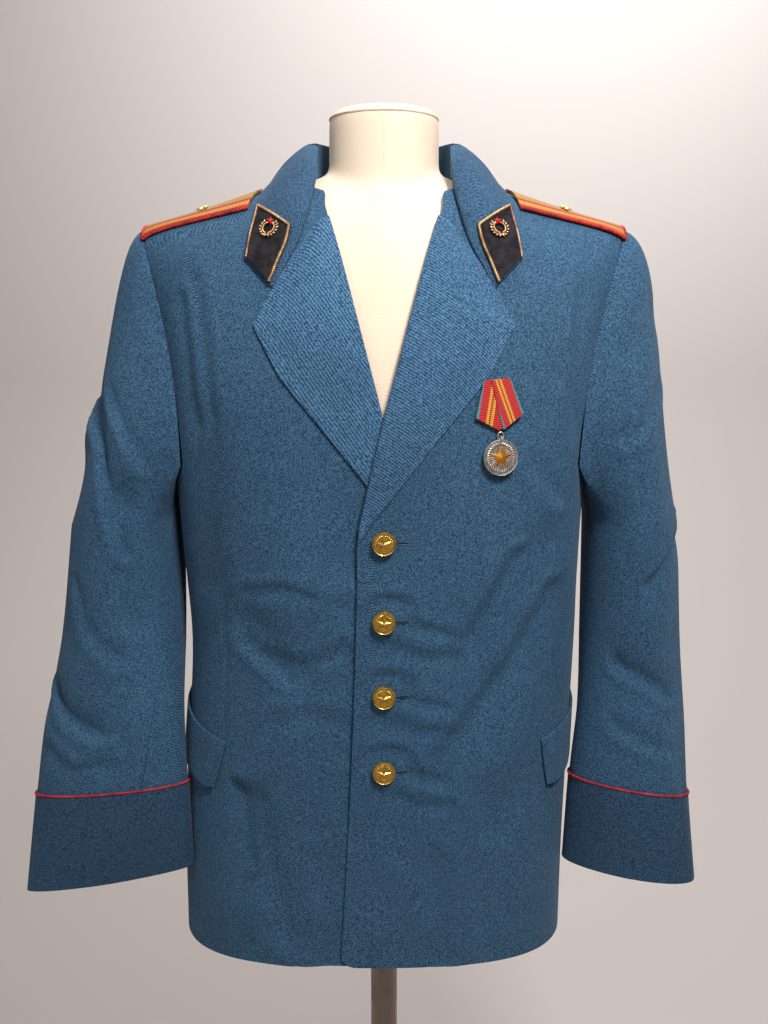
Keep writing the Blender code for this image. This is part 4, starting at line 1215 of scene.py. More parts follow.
@dataclass(frozen=True)
class Jersey(Finish):
    """Cream knitted cover of the form, with slight grime in patches."""

    light: Color = dye(244, 226, 206)
    shadow: Color = dye(220, 192, 162)

    def surface(self, bench: Bench) -> Wire:
        """The jersey's shader.

        Args:
            bench: The bench to add nodes on.

        Returns:
            The shader.
        """
        place = bench.place()
        split = bench.add("ShaderNodeSeparateXYZ", None, {0: place})
        wale = (split * (2 * math.pi / 0.0016)).wave()
        course = (split.out("Z") * (2 * math.pi / 0.0012)).wave()
        fuzz = bench.noise(900.0, 3.0)
        soil = bench.noise(16.0, 4.0).smooth(0.45, 0.75)
        color = bench.mix(course * 0.20 + wale * 0.14 + fuzz * 0.25, self.light, self.shadow)
        color = bench.mix(soil * 0.12, color, dye(214, 184, 150))
        return bench.shader(
            Base_Color=color,
            Roughness=0.86 + fuzz * 0.1,
            Sheen_Weight=0.15,
            Normal=bench.bump(wale * 0.4 + course * 0.5 + fuzz * 0.4, 0.00018, 0.6),
        )


@dataclass(frozen=True)
class Steel(Finish):
    """Brushed, slightly stained steel of the stand."""

    light: Color = dye(134, 120, 108)
    dark: Color = dye(84, 72, 64)
    brushed_round: bool = True

    def surface(self, bench: Bench) -> Wire:
        """The steel's shader.

        Args:
            bench: The bench to add nodes on.

        Returns:
            The shader.
        """
        place = bench.place()
        stretch = (400.0, 400.0, 6.0) if self.brushed_round else (60.0, 60.0, 400.0)
        lines = bench.add("ShaderNodeMapping", None, {"Vector": place, "Scale": stretch})
        brush = bench.noise(1.0, 3.0, lines)
        stain = bench.noise(24.0, 5.0).smooth(0.42, 0.72)
        color = bench.mix(stain * 0.7 + brush * 0.25, self.light, self.dark)
        return bench.shader(
            Base_Color=color,
            Metallic=0.85 - stain * 0.2,
            Roughness=brush * 0.18 + stain * 0.16 + 0.26,
            Normal=bench.bump(brush, 0.0001, 0.35),
        )


@dataclass(frozen=True)
class Paint(Finish):
    """Flat studio paint."""

    color: Color = dye(204, 197, 194)

    def surface(self, bench: Bench) -> Wire:
        """The paint's shader.

        Args:
            bench: The bench to add nodes on.

        Returns:
            The shader.
        """
        mottle = bench.noise(1.4, 3.0)
        color = bench.mix(mottle * 0.25, self.color, tuple(c * 0.94 for c in self.color))
        return bench.shader(Base_Color=color, Roughness=0.95, Specular_IOR_Level=0.1)


BODY_TWILL = Twill("body_twill", lean=-48.0)
MIRROR_TWILL = Twill("body_twill_mirrored", lean=48.0)
LAPEL_TWILL = Twill("lapel_twill", dye(28, 60, 90), dye(86, 130, 166), 0.0027, 20.0, 0.0004)
FACING_TWILL = Twill("facing_twill", dye(28, 60, 90), dye(84, 126, 162), 0.0026, 78.0, 0.0004)
COLLAR_TWILL = Twill("collar_twill", dye(26, 50, 76), dye(68, 106, 138), 0.0021, -30.0)
CUFF_TWILL = Twill("cuff_twill", dye(22, 44, 66), dye(58, 92, 122), 0.0019, -48.0)
VELVET = Velvet("black_velvet")
# Near-black velvet that paints the shade inside the buttonholes' slits.
SLIT_SHADE = Velvet("buttonhole_dark")
GILT = Metal("gilt")
BOARD_STAR = Metal("board_star_gilt", dye(240, 205, 130), dye(130, 90, 44), 0.3)
SILVER = Metal("medal_silver", dye(212, 204, 196), dye(84, 72, 66), 0.34, 1300.0)
ORANGE_GILT = Metal("medal_star_gilt", dye(222, 150, 62), dye(120, 66, 26), 0.34)
ENAMEL = Thread("red_enamel", dye(214, 30, 28), dye(170, 18, 18), 0.3, 0.2, 400.0)
SEAM_THREAD = Thread("seam_thread")
HOLE_THREAD = Thread("buttonhole_thread", dye(98, 124, 146), dye(30, 44, 60))
PIPING = Thread("red_piping", dye(208, 52, 66), dye(140, 22, 40), 0.75)
BOARD_CORD = Thread("red_edging", dye(212, 48, 28), dye(112, 12, 14), 0.7)
GOLD_CORD = Thread("gold_cord", dye(226, 190, 140), dye(132, 92, 56), 0.45, 0.45)
PINK_CORD = Thread("outer_gold_cord", dye(214, 168, 132), dye(120, 78, 56), 0.45, 0.4)
GALLOON = Galloon("galloon")
OVER_RIBBON = Ribbon("ribbon_over")
UNDER_RIBBON = Ribbon("ribbon_under", 0.030, False)
JERSEY = Jersey("form_jersey")
POLE_STEEL = Steel("pole_steel")
BASE_STEEL = Steel("base_steel", brushed_round=False)


# ---- What follows a line: stitches and cords ----


def geometry_tree(name: str, inputs: dict[str, float]) -> tuple[Bench, dict[str, Wire]]:
    """A new Geometry Nodes tree with a geometry, a material and number inputs.

    Args:
        name: The tree's name.
        inputs: Names and values of its number inputs.

    Returns:
        The bench to add its nodes on, and its inputs by name.
    """
    tree = bpy.data.node_groups.new(name, "GeometryNodeTree")
    face = tree.interface
    face.new_socket(name="Geometry", in_out="OUTPUT", socket_type="NodeSocketGeometry")
    face.new_socket(name="Geometry", in_out="INPUT", socket_type="NodeSocketGeometry")
    face.new_socket(name="Material", in_out="INPUT", socket_type="NodeSocketMaterial")
    for key, value in inputs.items():
        made = face.new_socket(name=key, in_out="INPUT", socket_type="NodeSocketFloat")
        made.default_value = value
    bench = Bench(tree)
    start = bench.add("NodeGroupInput")
    return bench, {key: start.out(key) for key in ("Geometry", "Material", *inputs)}


def end_tree(bench: Bench, shape: Wire, material: Wire) -> bpy.types.NodeTree:
    """Realizes a tree's instances, sets their material and ends the tree.

    Args:
        bench: The bench to add nodes on.
        shape: The geometry.
        material: Its material.

    Returns:
        The tree.
    """
    real = bench.add("GeometryNodeRealizeInstances", None, {"Geometry": shape})
    dressed = bench.add("GeometryNodeSetMaterial", None, {"Geometry": real, "Material": material})
    bench.add("NodeGroupOutput", None, {"Geometry": dressed})
    return bench.tree


def stitch_tree() -> bpy.types.NodeTree:
    """Stitches laid along a line.

    Returns:
        The tree.
    """
    sizes = {"Length": 0.0026, "Thickness": 0.00028, "Pitch": 0.0036}
    bench, given = geometry_tree("stitches", sizes)
    line = bench.add("GeometryNodeMeshToCurve", None, {"Mesh": given["Geometry"]})
    settings = {"mode": "LENGTH"}
    dots = bench.add(
        "GeometryNodeResampleCurve", settings, {"Curve": line, "Length": given["Pitch"]}
    )
    ball = bench.add("GeometryNodeMeshUVSphere", None, {"Segments": 6, "Rings": 5, "Radius": 1.0})
    half = given["Length"] * 0.5
    size = bench.add(
        "ShaderNodeCombineXYZ", None, {0: given["Thickness"], 1: given["Thickness"], 2: half}
    )
    stitch = bench.add("GeometryNodeTransform", None, {"Geometry": ball, "Scale": size})
    tangent = bench.add("GeometryNodeInputTangent")
    turn = bench.add("FunctionNodeAlignRotationToVector", {"axis": "Z"}, {"Vector": tangent})
    sockets = {"Points": dots, "Instance": stitch, "Rotation": turn}
    laid = bench.add("GeometryNodeInstanceOnPoints", None, sockets)
    return end_tree(bench, laid, given["Material"])


def cord_tree() -> bpy.types.NodeTree:
    """A cord of twisted strands that follows a line.

    Returns:
        The tree.
    """
    sizes = {"Radius": 0.001, "Lobe": 0.3, "Pitch": 0.006, "Step": 0.0008}
    bench, given = geometry_tree("cord", sizes)
    line = bench.add("GeometryNodeMeshToCurve", None, {"Mesh": given["Geometry"]})
    fine = bench.add(
        "GeometryNodeResampleCurve", {"mode": "LENGTH"}, {"Curve": line, "Length": given["Step"]}
    )
    run = bench.add("GeometryNodeSplineParameter", out="Length")
    tilt = run.calc("DIVIDE", given["Pitch"]) * (2 * math.pi)
    wound = bench.add("GeometryNodeSetCurveTilt", None, {"Curve": fine, "Tilt": tilt})
    ring = bench.add(
        "GeometryNodeCurvePrimitiveCircle", {"mode": "RADIUS"}, {"Resolution": 12, "Radius": 1.0}
    )
    place = bench.add("GeometryNodeInputPosition")
    split = bench.add("ShaderNodeSeparateXYZ", None, {0: place})
    angle = split.out("Y").calc("ARCTAN2", split)
    swell = 1 - given["Lobe"] * (0.5 - (angle * 3.0).calc("COSINE") * 0.5)
    scale = swell * given["Radius"]
    sized = bench.add(
        "ShaderNodeVectorMath", {"operation": "SCALE"}, {0: place, "Scale": scale}
    )
    profile = bench.add("GeometryNodeSetPosition", None, {"Geometry": ring, "Position": sized})
    sockets = {"Curve": wound, "Profile Curve": profile, "Fill Caps": True}
    tube = bench.add("GeometryNodeCurveToMesh", None, sockets)
    round_ = bench.add("GeometryNodeSetShadeSmooth", None, {0: tube})
    return end_tree(bench, round_, given["Material"])


@dataclass
class Haberdashery:
    """Stitches and cords, grown along lines by Geometry Nodes."""

    stitches: bpy.types.NodeTree
    cords: bpy.types.NodeTree

    def grow(
        self, name: str, lines: list[Array], tree: bpy.types.NodeTree, finish: Finish,
        sizes: dict[str, float], closed: bool = False,
    ) -> bpy.types.Object:
        """Grows a tree's shape along lines and keeps the plain mesh.

        Args:
            name: The piece's name.
            lines: Points of each line.
            tree: The Geometry Nodes tree.
            finish: The piece's finish.
            sizes: Values of the tree's inputs.
            closed: Whether the lines are loops.

        Returns:
            The piece, a plain mesh.
        """
        points, edges = [], []
        for line in lines:
            first = len(points)
            points += np.asarray(line, float).tolist()
            edges += [(first + i, first + i + 1) for i in range(len(line) - 1)]
            if closed:
                edges.append((len(points) - 1, first))
        path = bpy.data.meshes.new(name)
        path.from_pydata(points, edges, [])
        piece = add_object(name, path, finish.material())
        modifier = piece.modifiers.new(name, "NODES")
        modifier.node_group = tree
        values = {**sizes, "Material": finish.material()}
        for item in tree.interface.items_tree:
            if item.in_out == "INPUT" and item.name in values:
                modifier[item.identifier] = values[item.name]
        graph = bpy.context.evaluated_depsgraph_get()
        made = bpy.data.meshes.new_from_object(piece.evaluated_get(graph))
        piece.modifiers.remove(modifier)
        piece.data = made
        made.name = name
        bpy.data.meshes.remove(path)
        return piece

    def stitch(self, name: str, lines: list[Array], finish: Finish = SEAM_THREAD,
               length: float = 0.0026, pitch: float = 0.0038, thickness: float = 0.00030,
               closed: bool = False) -> bpy.types.Object:
        """Rows of stitches.

        Args:
            name: The piece's name.
            lines: Points of each line.
            finish: The finish.
            length: A stitch's length.
            pitch: Length of a repeat.
            thickness: Half a stitch's width.
            closed: Whether the lines are loops.

        Returns:
            The stitches.
        """
        sizes = {"Length": length, "Thickness": thickness, "Pitch": pitch}
        piece = self.grow(name, lines, self.stitches, finish, sizes, closed)
        return trim(piece, "cloth")

    def cord(self, name: str, lines: list[Array], finish: Finish, radius: float, slot: str,
             lobe: float = 0.34, pitch: float = 0.0075, closed: bool = False,
             step: float = 0.0008) -> bpy.types.Object:
        """A twisted cord sewn along lines.

        Args:
            name: The piece's name.
            lines: Points of each line.
            finish: The finish.
            radius: The cord's radius.
            slot: Handed on to trim, which does not use it.
            lobe: How deep the twist is cut.
            pitch: Length of a repeat.
            closed: Whether the lines are loops.
            step: Distance between its rings.

        Returns:
            The cord.
        """
        sizes = {"Radius": radius, "Lobe": lobe, "Pitch": pitch, "Step": step}
        piece = self.grow(name, lines, self.cords, finish, sizes, closed)
        return trim(piece, slot)


# ---- Body panels ----


def grid_steps(low: float, high: float, size: float, run: float) -> Array:
    """Even steps from low to high, one for each `size` of a run."""
    return np.linspace(low, high, max(int(round(run / size)), 2) + 1)


@dataclass
class Panels:
    """The two fronts and the two halves of the back."""

    work: Haberdashery
    cell: float = 0.0045
    edge_x: float = -0.0245
    edge_swing: float = -0.019
    edge_top: float = 1.124
    corner: float = 0.014
    roll_z: tuple[float, ...] = (1.124, 1.178, 1.232, 1.300, 1.373, 1.430)
    roll_x: tuple[float, ...] = (-0.0245, -0.0125, 0.0000, 0.0175, 0.0370, 0.0540)
    armhole_front: float = 64.0
    armhole_back: float = 116.0
    side_seam: float = 104.0
    dip: float = 0.055
    neck_back_z: float = 1.448

    def limit(self, side: int, z: Array) -> Array:
        """Inner limit of a front: its closing edge, then the roll line.

        Args:
            side: -1 for the wearer's right, 1 for the left.
            z: Heights.

        Returns:
            Distances from the centre.
        """
        z = np.asarray(z, float)
        share = np.clip((self.edge_top - z) / (self.edge_top - TORSO.hem_front), 0, None)
        swing = self.edge_swing * share**1.5
        above = np.clip(self.corner - (z - TORSO.hem_front), 0, self.corner)
        corner = self.corner - np.sqrt(np.maximum(self.corner**2 - above**2, 0.0))
        low = self.edge_x + (swing + corner) * (1.0 if side > 0 else 0.3)
        return np.where(z <= self.edge_top, low, curve(self.roll_z, self.roll_x, z))

    def inner_angle(self, side: int, level: Array) -> Array:
        """phi where each row of a front meets its inner limit.

        Args:
            side: -1 for the wearer's right, 1 for the left.
            level: Level of each row.

        Returns:
            phi of each row.
        """
        low, high = np.full(level.shape, -30.0), np.full(level.shape, self.armhole_front)
        for _ in range(40):
            middle = (low + high) / 2
            point = TORSO.point(side, middle, level)
            limit = self.limit(side, point[..., 2])
            neck = np.maximum(limit, TORSO.neck_x * ease(1.45, 1.85, level))
            limit = np.where(level > 1.45, neck, limit)
            inside = side * point[..., 0] < limit
            low, high = np.where(inside, middle, low), np.where(inside, high, middle)
        return high

    def underarm(self, phi: Array) -> Array:
        """Level of the armhole's lower edge."""
        share = (phi - self.armhole_front) / (self.armhole_back - self.armhole_front)
        return 1 - self.dip * np.sin(np.pi * np.clip(share, 0, 1)) ** 0.8

    def turn_for(self, side: int, phi: float, level: Array, distance: float) -> Array:
        """Degrees of phi that run a distance round the body."""
        a, b = (TORSO.point(side, phi + d, level) for d in (-0.5, 0.5))
        return distance / np.linalg.norm(b - a, axis=-1)

    def back_top(self, phi: Array) -> Array:
        """Level of the back's upper edge: the neckline, then the shoulder seam.

        Args:
            phi: Degrees round the body from the front.

        Returns:
            The levels.
        """
        rim = TORSO.level_over(phi, SEAM / 2)
        x0 = TORSO.reach(phi) * TORSO.tip_x / TORSO.arm_x
        share = np.minimum(x0 / TORSO.neck_x, 1.0)
        z = self.neck_back_z + (TORSO.neck_z - self.neck_back_z) * share**2
        rise = np.clip((z - TORSO.armpit) / (TORSO.shoulder(x0) - TORSO.armpit), 0, 1)
        neckline = 1 + np.arcsin(rise ** (1 / TORSO.rise_power)) * 2 / np.pi
        return neckline + (rim - neckline) * ease(0.8, 1.0, share)

    def front(self, side: int) -> Wall:
        """A front, from the closing to the side seam.

        Args:
            side: -1 for the wearer's right, 1 for the left.

        Returns:
            The wall.
        """
        low = np.concatenate([[0, 0.004, 0.012], grid_steps(0.02, 1, self.cell, 0.50)])
        high = 1 + np.sin(grid_steps(0, 1, self.cell, 0.27) * np.pi / 2)[1:]
        level = np.concatenate([low, high])
        inner = self.inner_angle(side, level)
        share = grid_steps(0, 1, self.cell, 0.19)
        share = np.insert(share, 1, share[1] * 0.3)
        phi = inner[:, None] + (self.armhole_front - inner[:, None]) * share
        levels = np.minimum(level[:, None], TORSO.level_over(phi, SEAM / 2))
        sides = grid_steps(0, 1, self.cell, 0.10)[1:]
        seam = self.side_seam - self.turn_for(side, self.side_seam, level, 0.8 * SEAM)
        phi_side = self.armhole_front + (seam[:, None] - self.armhole_front) * sides
        level_side = np.minimum(level, 1.0)[:, None] * self.underarm(phi_side)
        phi = np.concatenate([phi, phi_side], axis=1)
        levels = np.concatenate([levels, level_side], axis=1)
        shown = np.ones((len(level) - 1, phi.shape[1] - 1), bool)
        shown[len(low) - 1 :, len(share) - 1 :] = False
        return self.wall("front", side, phi, levels, shown)

    def back(self, side: int) -> Wall:
        """A half of the back, from the side seam to the centre seam.

        Args:
            side: -1 for the wearer's right, 1 for the left.

        Returns:
            The wall.
        """
        low = grid_steps(0, 1, self.cell, 0.51)
        high = np.sin(grid_steps(0, 1, self.cell, 0.27) * np.pi / 2)[1:]
        centre = np.degrees(np.arcsin((SEAM * 0.8 / 0.2) ** (TORSO.power / 2)))
        share = grid_steps(0, 1, self.cell, 0.18)
        phi = self.armhole_back + (180.0 - centre - self.armhole_back) * share**0.8
        main = np.concatenate([
            np.repeat(low[:, None], len(phi), axis=1),
            1 + high[:, None] * (self.back_top(phi)[None] - 1),
        ])
        level = np.concatenate([low, 1 + high])
        sides = grid_steps(0, 1, self.cell, 0.05)[:-1]
        seam = self.side_seam + self.turn_for(side, self.side_seam, level, 0.8 * SEAM)
        phi_side = seam[:, None] + (self.armhole_back - seam[:, None]) * sides
        level_side = np.minimum(level, 1.0)[:, None] * self.underarm(phi_side)
        phis = np.concatenate([phi_side, np.repeat(phi[None], len(level), axis=0)], axis=1)
        levels = np.concatenate([level_side, main], axis=1)
        shown = np.ones((len(level) - 1, phis.shape[1] - 1), bool)
        shown[len(low) - 1 :, : len(sides)] = False
        return self.wall("back", side, phis, levels, shown)

    def wall(self, kind: str, side: int, phi: Array, level: Array, shown: Array) -> Wall:
        """A panel's wall, with its twill laid the same way on both sides.

        Args:
            kind: "front" or "back".
            side: -1 for the wearer's right, 1 for the left.
            phi: Degrees round the body from the front.
            level: 0 at the hem, 1 at the armpit, 2 at the shoulder line.
            shown: Cells of the grid that are cloth.

        Returns:
            The wall.
        """
        outer = cloth(side, phi, level)
        uv = arc_lengths(outer) * np.array([side, 1.0])
        return Wall(sided(kind, side), outer, cloth(side, phi, level, -WALL), shown, uv_from=uv)

    def build(self) -> None:
        """Makes the four panels and their stitching."""
        for side in SIDES:
            lay_cloth(self.front(side), BODY_TWILL.material())
            lay_cloth(self.back(side), MIRROR_TWILL.material())
        self.edge_stitching()

    def edge_stitching(self) -> None:
        """Pick stitches beside the closing edge."""
        z = np.linspace(0.705, 1.118, 140)
        phi, level = TORSO.on_front(self.limit(1, z) + 0.0045, z, 1)
        line = cloth(1, phi, level, ON_CLOTH)
        self.work.stitch("closing_stitches", [line], pitch=0.0046, length=0.0020, thickness=0.00022)


# ---- Lapels ----


@dataclass
class Lapels:
    """The turned-back facings, with a soft roll along the roll line."""

    work: Haberdashery
    panels: Panels
    cell: float = 0.0030
    edge_z: tuple[float, ...] = (
        1.1255, 1.1440, 1.2095, 1.2770, 1.3215, 1.3360, 1.3530, 1.3750, 1.4010,
    )
    edge_x: tuple[float, ...] = (
        -0.0240, -0.0120, 0.0390, 0.0930, 0.1165, 0.1085, 0.0985, 0.0855, 0.0680,
    )
    roll_end: float = 1.4165
    roll_radius: float = 0.0022

    def shares(self) -> tuple[Array, Array, float]:
        """Rows along the edge, the edge's length up to each corner, and the tip's share.

        Returns:
            The rows, the lengths and the share.
        """
        z, x = np.array(self.edge_z), np.array(self.edge_x)
        length = np.concatenate([[0], np.cumsum(np.hypot(np.diff(z), np.diff(x)))])
        tip = length[4] / length[-1]
        rows = np.concatenate([
            grid_steps(0, tip, self.cell, length[4]),
            grid_steps(tip, 1, self.cell, length[-1] - length[4])[1:],
        ])
        return rows, length, tip

    def place(self, side: int, share: Array, across: Array) -> tuple[Array, Array, Array]:
        """phi, level and height of places on a lapel.

        Args:
            side: -1 for the wearer's right, 1 for the left.
            share: Share of the way along, 0 to 1.
            across: 0 on the roll line, 1 at the edge.

        Returns:
            phi, level and height.
        """
        _, length, tip = self.shares()
        at = share * length[-1]
        z, x = np.interp(at, length, self.edge_z), np.interp(at, length, self.edge_x)
        start = self.panels.edge_top + 0.002
        low = 0.72 * share / tip
        high = 0.72 + 0.28 * (share - tip) / (1 - tip)
        roll_z = start + (self.roll_end - start) * np.where(share < tip, low, high)
        roll_x = curve(self.panels.roll_z, self.panels.roll_x, roll_z)
        px = roll_x + (x - roll_x) * across
        pz = roll_z + (z - roll_z) * across
        phi, level = TORSO.on_front(px, pz, side)
        rises = 1.150 if side > 0 else 1.245
        lift = 0.0035 * np.sin(np.pi * np.minimum(across * 1.15, 1.0))
        lift = lift * ease(rises, rises + 0.08, pz)
        return phi, level, WALL + 2 * LIE + lift

    def surface(self, side: int, share: Array, across: Array, out: float) -> Array:
        """Points of a lapel, moved out from its outer face."""
        phi, level, height = self.place(side, share, across)
        return cloth(side, phi, level, height + out, fine=False)

    def wall(self, side: int) -> Wall:
        """A lapel's wall; below its roll line it turns under in a half circle.

        Args:
            side: -1 for the wearer's right, 1 for the left.

        Returns:
            The wall.
        """
        rows, _, _ = self.shares()
        across = grid_steps(0, 1, self.cell, 0.085)
        share, flat = np.meshgrid(rows, across, indexing="ij")
        outer = self.surface(side, share, flat, 0.0)
        inner = self.surface(side, share, flat, -WALL * 0.8)
        up = unit(outer[:, 0] - inner[:, 0])
        inward = unit(outer[:, 0] - outer[:, 3])
        inward = unit(inward - up * (inward * up).sum(-1, keepdims=True))
        fade = ease(0.0, 0.06, rows)[:, None]
        turned_out, turned_in = [], []
        for angle in np.radians((165, 140, 115, 90, 65, 40, 18)):
            for wall, shift in ((turned_out, 0.0), (turned_in, WALL * 0.8)):
                radius = max(self.roll_radius - shift, 0.0004)
                step = up * (radius * math.cos(angle) - self.roll_radius)
                wall.append(outer[:, 0] + (step + inward * radius * math.sin(angle)) * fade)
        keep = 5 if side < 0 else 0
        turned_out, turned_in = turned_out[keep:], turned_in[keep:]
        outer = np.concatenate([np.stack(turned_out, axis=1), outer], axis=1)
        inner = np.concatenate([np.stack(turned_in, axis=1), inner], axis=1)
        name = sided("lapel", side)
        uv = arc_lengths(outer) * np.array([side, 1.0])
        return Wall(name, outer, inner, uv_from=uv, bevel=0.0007)

    def build(self) -> None:
        """Makes the lapels and the stitches along their edges."""
        lay_cloth(self.wall(-1), LAPEL_TWILL.material())
        lay_cloth(self.wall(1), FACING_TWILL.material())
        lines = []
        tip = self.shares()[2]
        for side in SIDES:
            share = np.linspace(0.06, tip - 0.012, 120)
            lines.append(self.surface(side, share, np.full(share.shape, 0.955), ON_CLOTH))
            share = np.linspace(tip + 0.03, 0.97, 40)
            lines.append(self.surface(side, share, np.full(share.shape, 0.94), ON_CLOTH))
        self.work.stitch("lapel_stitches", lines, **EDGE_STITCH)


# ---- Collar ----


@dataclass
class Collar:
    """The turned-down leaf and the stand inside it."""

    work: Haberdashery
    cell: float = 0.0030
    crease_x: tuple[float, ...] = (
        0.0990, 0.0900, 0.0780, 0.0690, 0.0660, 0.0680, 0.0610, 0.0360, 0.0000,
    )
    crease_y: tuple[float, ...] = (
        -0.1005, -0.0960, -0.0870, -0.0690, -0.0420, -0.0080, 0.0260, 0.0530, 0.0630,
    )
    lift: tuple[float, ...] = (
        0.0030, 0.0030, 0.0040, 0.0110, 0.0200, 0.0260, 0.0340, 0.0440, 0.0500,
    )
    edge_x: tuple[float, ...] = (
        0.1252, 0.1225, 0.1190, 0.1160, 0.1130, 0.1110, 0.0980, 0.0600, 0.0000,
    )
    edge_y: tuple[float, ...] = (
        -0.0850, -0.0725, -0.0585, -0.0400, -0.0160, 0.0120, 0.0440, 0.0780, 0.0900,
    )
    lies: float = 0.0032
    roll_radius: float = 0.0024
    stand_from: int = 3
    last: int = 8

    def over_jacket(self, x: Array, y: Array) -> tuple[Array, Array]:
        """Points of the jacket above (x, y), and the normals there.

        Args:
            x: Distances from the centre.
            y: Places from front to back.

        Returns:
            Points and normals.
        """
        phi, level = TORSO.over_shoulder(x, y)
        level = np.minimum(level, 1.97)
        return TORSO.point(1, phi, level), TORSO.normal(1, phi, level)

    def rows(self, index: Array) -> tuple[Array, Array]:
        """Crease and free edge of the leaf at places in the tables.

        Args:
            index: Places along the collar, in its tables' rows.

        Returns:
            Points of the crease and of the edge.
        """
        keys = np.arange(self.last + 1)
        read = {n: curve(keys, getattr(self, n), index) for n in
                ("crease_x", "crease_y", "lift", "edge_x", "edge_y")}
        below, normal = self.over_jacket(read["crease_x"], read["crease_y"])
        upright = ease(2.0, 3.5, index)[..., None]
        lean = normal + (np.array([0.0, 0.0, 1.0]) - normal) * upright
        crease = below + lean * read["lift"][..., None]
        edge, normal = self.over_jacket(read["edge_x"], read["edge_y"])
        return crease, edge + normal * self.lies

    def leaf(self, side: int, index: Array, across: Array, out: Array | float = 0.0) -> Array:
        """Points of the leaf's outer face; across runs from the crease to the edge.

        Args:
            side: -1 for the wearer's right, 1 for the left.
            index: Places along the collar, in its tables' rows.
            across: Share of the way across, 0 to 1.
            out: How far to move out from the surface.

        Returns:
            The points.
        """
        index, across = np.broadcast_arrays(np.asarray(index, float), np.asarray(across, float))
        crease, edge = self.rows(index)
        run = edge - crease
        along = (self.rows(np.minimum(index + 0.05, self.last))[0]
                 - self.rows(np.maximum(index - 0.05, 0))[0])
        normal = unit(np.cross(run, along))
        normal = normal * np.where(normal[..., 2:] < 0, -1.0, 1.0)
        bulge = np.sin(np.pi * np.clip(across, 0, 1) ** 0.7)
        swell = (0.0015 + 0.006 * ease(1.5, 3.5, index)) * bulge
        points = crease + run * across[..., None] + normal * (swell + out)[..., None]
        return points * np.array([side, 1.0, 1.0])

    def stand(self, side: int, index: Array, down: Array, out: float = 0.0) -> Array:
        """Points of the stand's neck side.

        Args:
            side: -1 for the wearer's right, 1 for the left.
            index: Places along the collar, in its tables' rows.
            down: Share of the way down.
            out: How far to move out from the surface.

        Returns:
            The points.
        """
        crease, _ = self.rows(index)
        flat = crease * np.array([1.0, 1.0, 0.0])
        height = 0.006 + 0.026 * ease(self.stand_from, self.stand_from + 2.5, index)
        inward = (0.0047 - 0.0008 * down + out)[..., None]
        points = crease - unit(flat) * inward
        points[..., 2] -= 0.001 + height * down
        return points * np.array([side, 1.0, 1.0])

    def around(self, first: float, step: float) -> list[tuple[int, float]]:
        """Places from the right front round the neck to the left's."""
        half = np.linspace(first, self.last, int((self.last - first) / step) + 1)
        return [(-1, i) for i in half] + [(1, i) for i in half[-2::-1]]

    def leaf_wall(self) -> Wall:
        """The leaf's wall, its top edge rolled over the stand.

        Returns:
            The wall.
        """
        places = self.around(0.0, 0.05)
        across = grid_steps(0, 1, self.cell, 0.052)
        outer, inner = [], []
        for side in SIDES:
            index = np.array([i for s, i in places if s == side])
            grid = [self.leaf(side, index[:, None], across[None], out)
                    for out in (0.0, -WALL * 0.85)]
            up = unit(grid[0][:, 0] - grid[1][:, 0])
            inward = unit(grid[0][:, 0] - grid[0][:, 2])
            standing = ease(1.0, 3.0, index)[:, None]
            for target, source, shift in ((outer, grid[0], 0.0), (inner, grid[1], WALL * 0.85)):
                turned = []
                for angle in np.radians((150, 120, 90, 60, 30)):
                    radius = self.roll_radius - shift
                    step = up * (radius * math.cos(angle) - self.roll_radius)
                    step = step + inward * radius * math.sin(angle)
                    turned.append(grid[0][:, 0] + step * (0.45 + 0.55 * standing))
                target.append(np.concatenate([np.stack(turned, axis=1), source], axis=1))
        grids = [np.concatenate(pair, axis=0) for pair in (outer, inner)]
        return Wall("collar", grids[0], grids[1], bevel=0.0007)

    def stand_wall(self) -> Wall:
        """The stand's wall.

        Returns:
            The wall.
        """
        places = self.around(self.stand_from, 0.06)
        down = grid_steps(0, 1, 0.004, 0.03)
        sheets = []
        for out in (0.0, -WALL):
            halves = []
            for side in SIDES:
                index = np.array([i for s, i in places if s == side])
                halves.append(self.stand(side, index[:, None], down[None], out))
            sheets.append(np.concatenate(halves, axis=0))
        return Wall("collar_stand", sheets[0], sheets[1])

    def build(self) -> None:
        """Makes the collar and the stitches along its edge."""
        lay_cloth(self.leaf_wall(), COLLAR_TWILL.material())
        lay_cloth(self.stand_wall(), BODY_TWILL.material())
        places = self.around(0.12, 0.06)
        line = np.concatenate([
            self.leaf(side, np.array([i for s, i in places if s == side]), 0.93, ON_CLOTH)
            for side in SIDES
        ])
        self.work.stitch("collar_stitches", [line], **EDGE_STITCH)


# ---- Sleeves ----


def on_arm(*places: tuple[float, float]) -> tuple[tuple[float, float], ...]:
    """Places on a sleeve as (metres round it, height), from (degrees, height)."""
    return tuple((AROUND * degrees, z) for degrees, z in places)


